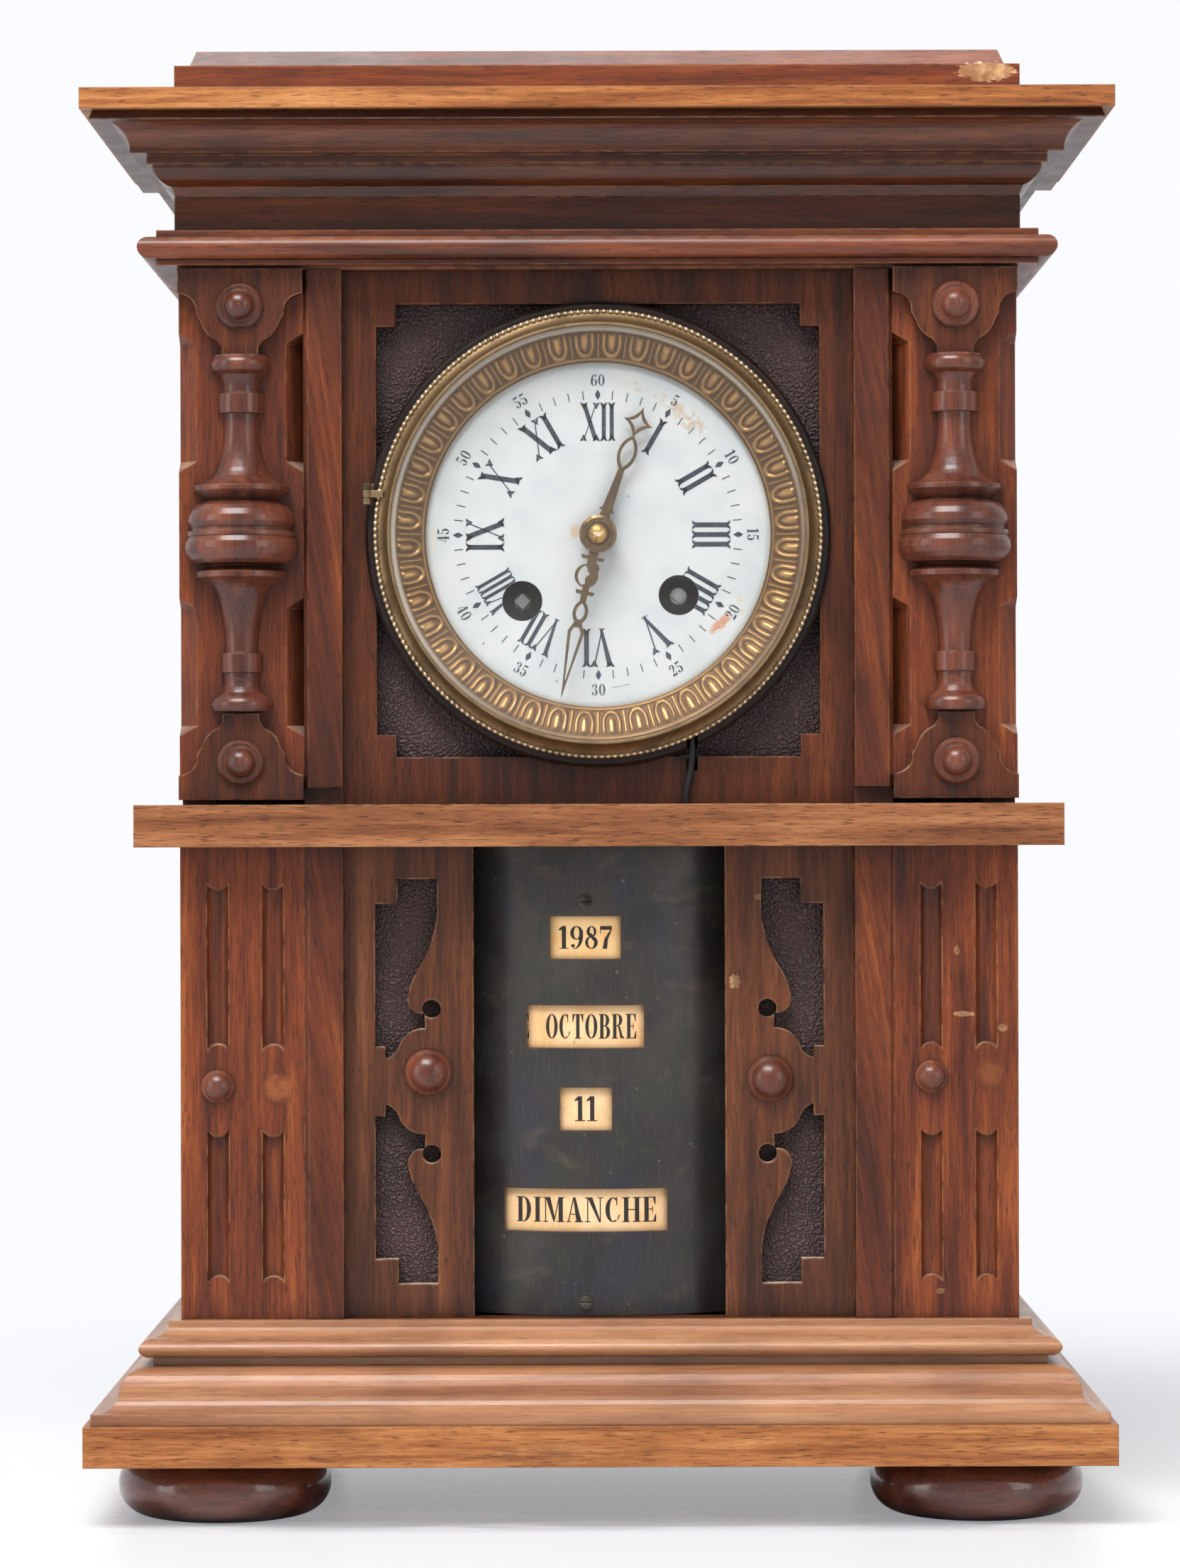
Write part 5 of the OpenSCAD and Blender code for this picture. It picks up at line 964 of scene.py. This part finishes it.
def egg_and_dart():
    """The gilt slip: a coned ring stamped with eggs in U-shaped shells, with darts between."""
    count, around, across = 44, 22, 36              # eggs, steps to an egg, steps across the ring
    r0, r1, flat, middle = 49.3, 60.0, 50.4, 54.3   # edges, start of the cone, where eggs round in
    egg_w, egg_h = 1.15, 2.2                        # half widths and lengths inward, in mm
    shell_w, shell_h = 2.3, 3.4
    thick, tall = 0.35, 0.95
    rise = SLIP_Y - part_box("bezel_slip")[0].y / MM
    verts, faces, relief = [], [], []
    total = count * around
    for j in range(across + 1):
        r = r0 + (r1 - r0) * j / across
        y = SLIP_Y - 0.8 - max(0.0, (r - flat) / (r1 - flat)) * (rise - 0.9)
        half = math.pi / count * r
        v = r - middle
        end = min(1.0, max(0.0, 3.3 - v))
        lip = (math.exp(-((r - 50.1) / 0.3) ** 2) * 0.4
               + math.exp(-((r - 58.4) / 0.35) ** 2) * 0.35)
        fade = min(1.0, max(0.0, (r - 50.5) / 0.4))
        for i in range(total):
            u = ((i % around) / around - 0.5) * (2 * math.pi / count) * r
            egg = max(0.0, 1 - (u / egg_w) ** 2 - (min(v, 0) / egg_h) ** 2) ** 0.5 * end
            rho = math.hypot(u / shell_w, min(v, 0) / shell_h)
            shell = math.exp(-((rho - 1) / 0.16) ** 2) * end
            dart = math.exp(-((half - abs(u)) / 0.28) ** 2) * end
            h = (0.95 * egg + 0.9 * shell + 0.35 * dart) * fade + lip
            relief.append(h)
            a = 2 * math.pi * (i + 0.5) / total
            verts.append((r * math.sin(a), y - h * tall, DIAL_Z + r * math.cos(a)))
    n = len(verts)
    for j in (0, across):
        for i in range(total):
            x, y, z = verts[j * total + i]
            verts.append((x, min(y + thick + 0.5, SLIP_Y) if j == 0 else y + thick, z))
    for j in range(across):
        for i in range(total):
            a, b = j * total + i, j * total + (i + 1) % total
            faces.append((a, b, b + total, a + total))
    for i in range(total):
        k = (i + 1) % total
        faces += [(i, n + i, n + k, k), (n + i, n + total + i, n + total + k, n + k),
                  (n + total + i, across * total + i, across * total + k, n + total + k)]
    obj = solid("egg_and_dart_slip", verts, faces, gilt, True)
    layer = obj.data.attributes.new("relief", "FLOAT", "POINT")
    layer.data.foreach_set("value", relief + [0.0] * (len(verts) - len(relief)))
    return obj


beads = pearls()
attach(beads, "bezel")
slip = egg_and_dart()
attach(slip, "bezel")
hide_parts("bezel_slip")

# Floor and light
BACKDROP = (0.965, 0.97, 1.0, 1)
ROOM = (0.22, 0.22, 0.23, 1)
LIT = Vector((0, 0, 0.15))      # every light is turned to this point of the clock


def floor_look():
    """White table: shows soft shadows near the clock and fades to plain white further off.

    Distances are in metres. Faint streaks, and a darker painted shade, show under the clock only.
    """
    s = Shade("floor")
    x, y, _ = s.xyz()
    seen = s.add("LightPath", "Is Camera Ray")
    far = s.step(s.math("SQRT", s.squares(x, y)), 0.18, 0.6)
    lift = s.plus(0.3, s.times(far, 0.7))
    streaks = s.noise(s.map((12, 60, 1), (0, 3, 0)), detail=8, distort=1.2)
    # under the clock the table is darker, as painted shade, and streaked with its grain
    bare = s.mix(s.step(streaks, 0.36, 0.64), (0.3, 0.31, 0.35, 1), (0.85, 0.85, 0.87, 1))
    under = s.times(s.step(s.math("ABSOLUTE", y), 0.088, 0.07),
                    s.step(s.math("ABSOLUTE", x), 0.15, 0.12))
    s.set(Base_Color=s.mix(under, (0.9, 0.91, 0.93, 1), bare),
          Roughness=0.35, Specular_IOR_Level=0.4)
    glow = s.add("Emission", 0, Color=BACKDROP, Strength=1.0)
    s.surface(s.add("MixShader", 0, i0=s.times(lift, seen), i1=s.bsdf.outputs[0], i2=glow))
    return s.mat


FAR = 4000              # half the floor's side
floor = solid("floor", [(-FAR, -FAR, 0), (FAR, -FAR, 0), (FAR, FAR, 0), (-FAR, FAR, 0)],
              [(0, 1, 2, 3)], floor_look())

world = bpy.data.worlds.new("world")
scene.world = world
w = Nodes(world, "Generated")
# polish reflects the white sheet that hangs behind the clock, and much less of the room in front
_, back, _ = w.xyz()
behind = w.add("MapRange", 0, Value=back, From_Min=-0.1, From_Max=0.4, To_Min=0.5)
shiny = w.times(w.add("LightPath", "Is Glossy Ray"), behind)
seen = w.math("MAXIMUM", w.add("LightPath", "Is Camera Ray"),
              w.add("LightPath", "Is Transmission Ray"))
w.put(w.tree.nodes["Background"].inputs[0],
      w.mix(w.math("MAXIMUM", seen, shiny), ROOM, BACKDROP))


def soft_light(name, at, size, power):
    data = bpy.data.lights.new(name, "AREA")
    data.shape = "RECTANGLE"
    data.size, data.size_y = size
    data.energy = power
    obj = bpy.data.objects.new(name, data)
    obj.location = at
    obj.rotation_euler = (LIT - Vector(at)).to_track_quat("-Z", "Y").to_euler()
    scene.collection.objects.link(obj)


soft_light("key", (-0.45, -1.1, 1.95), (1.4, 0.8), 56)
soft_light("fill", (1.7, -1.6, 0.8), (0.9, 1.3), 9)
soft_light("side", (-1.8, -0.9, 0.5), (0.7, 1.2), 8)
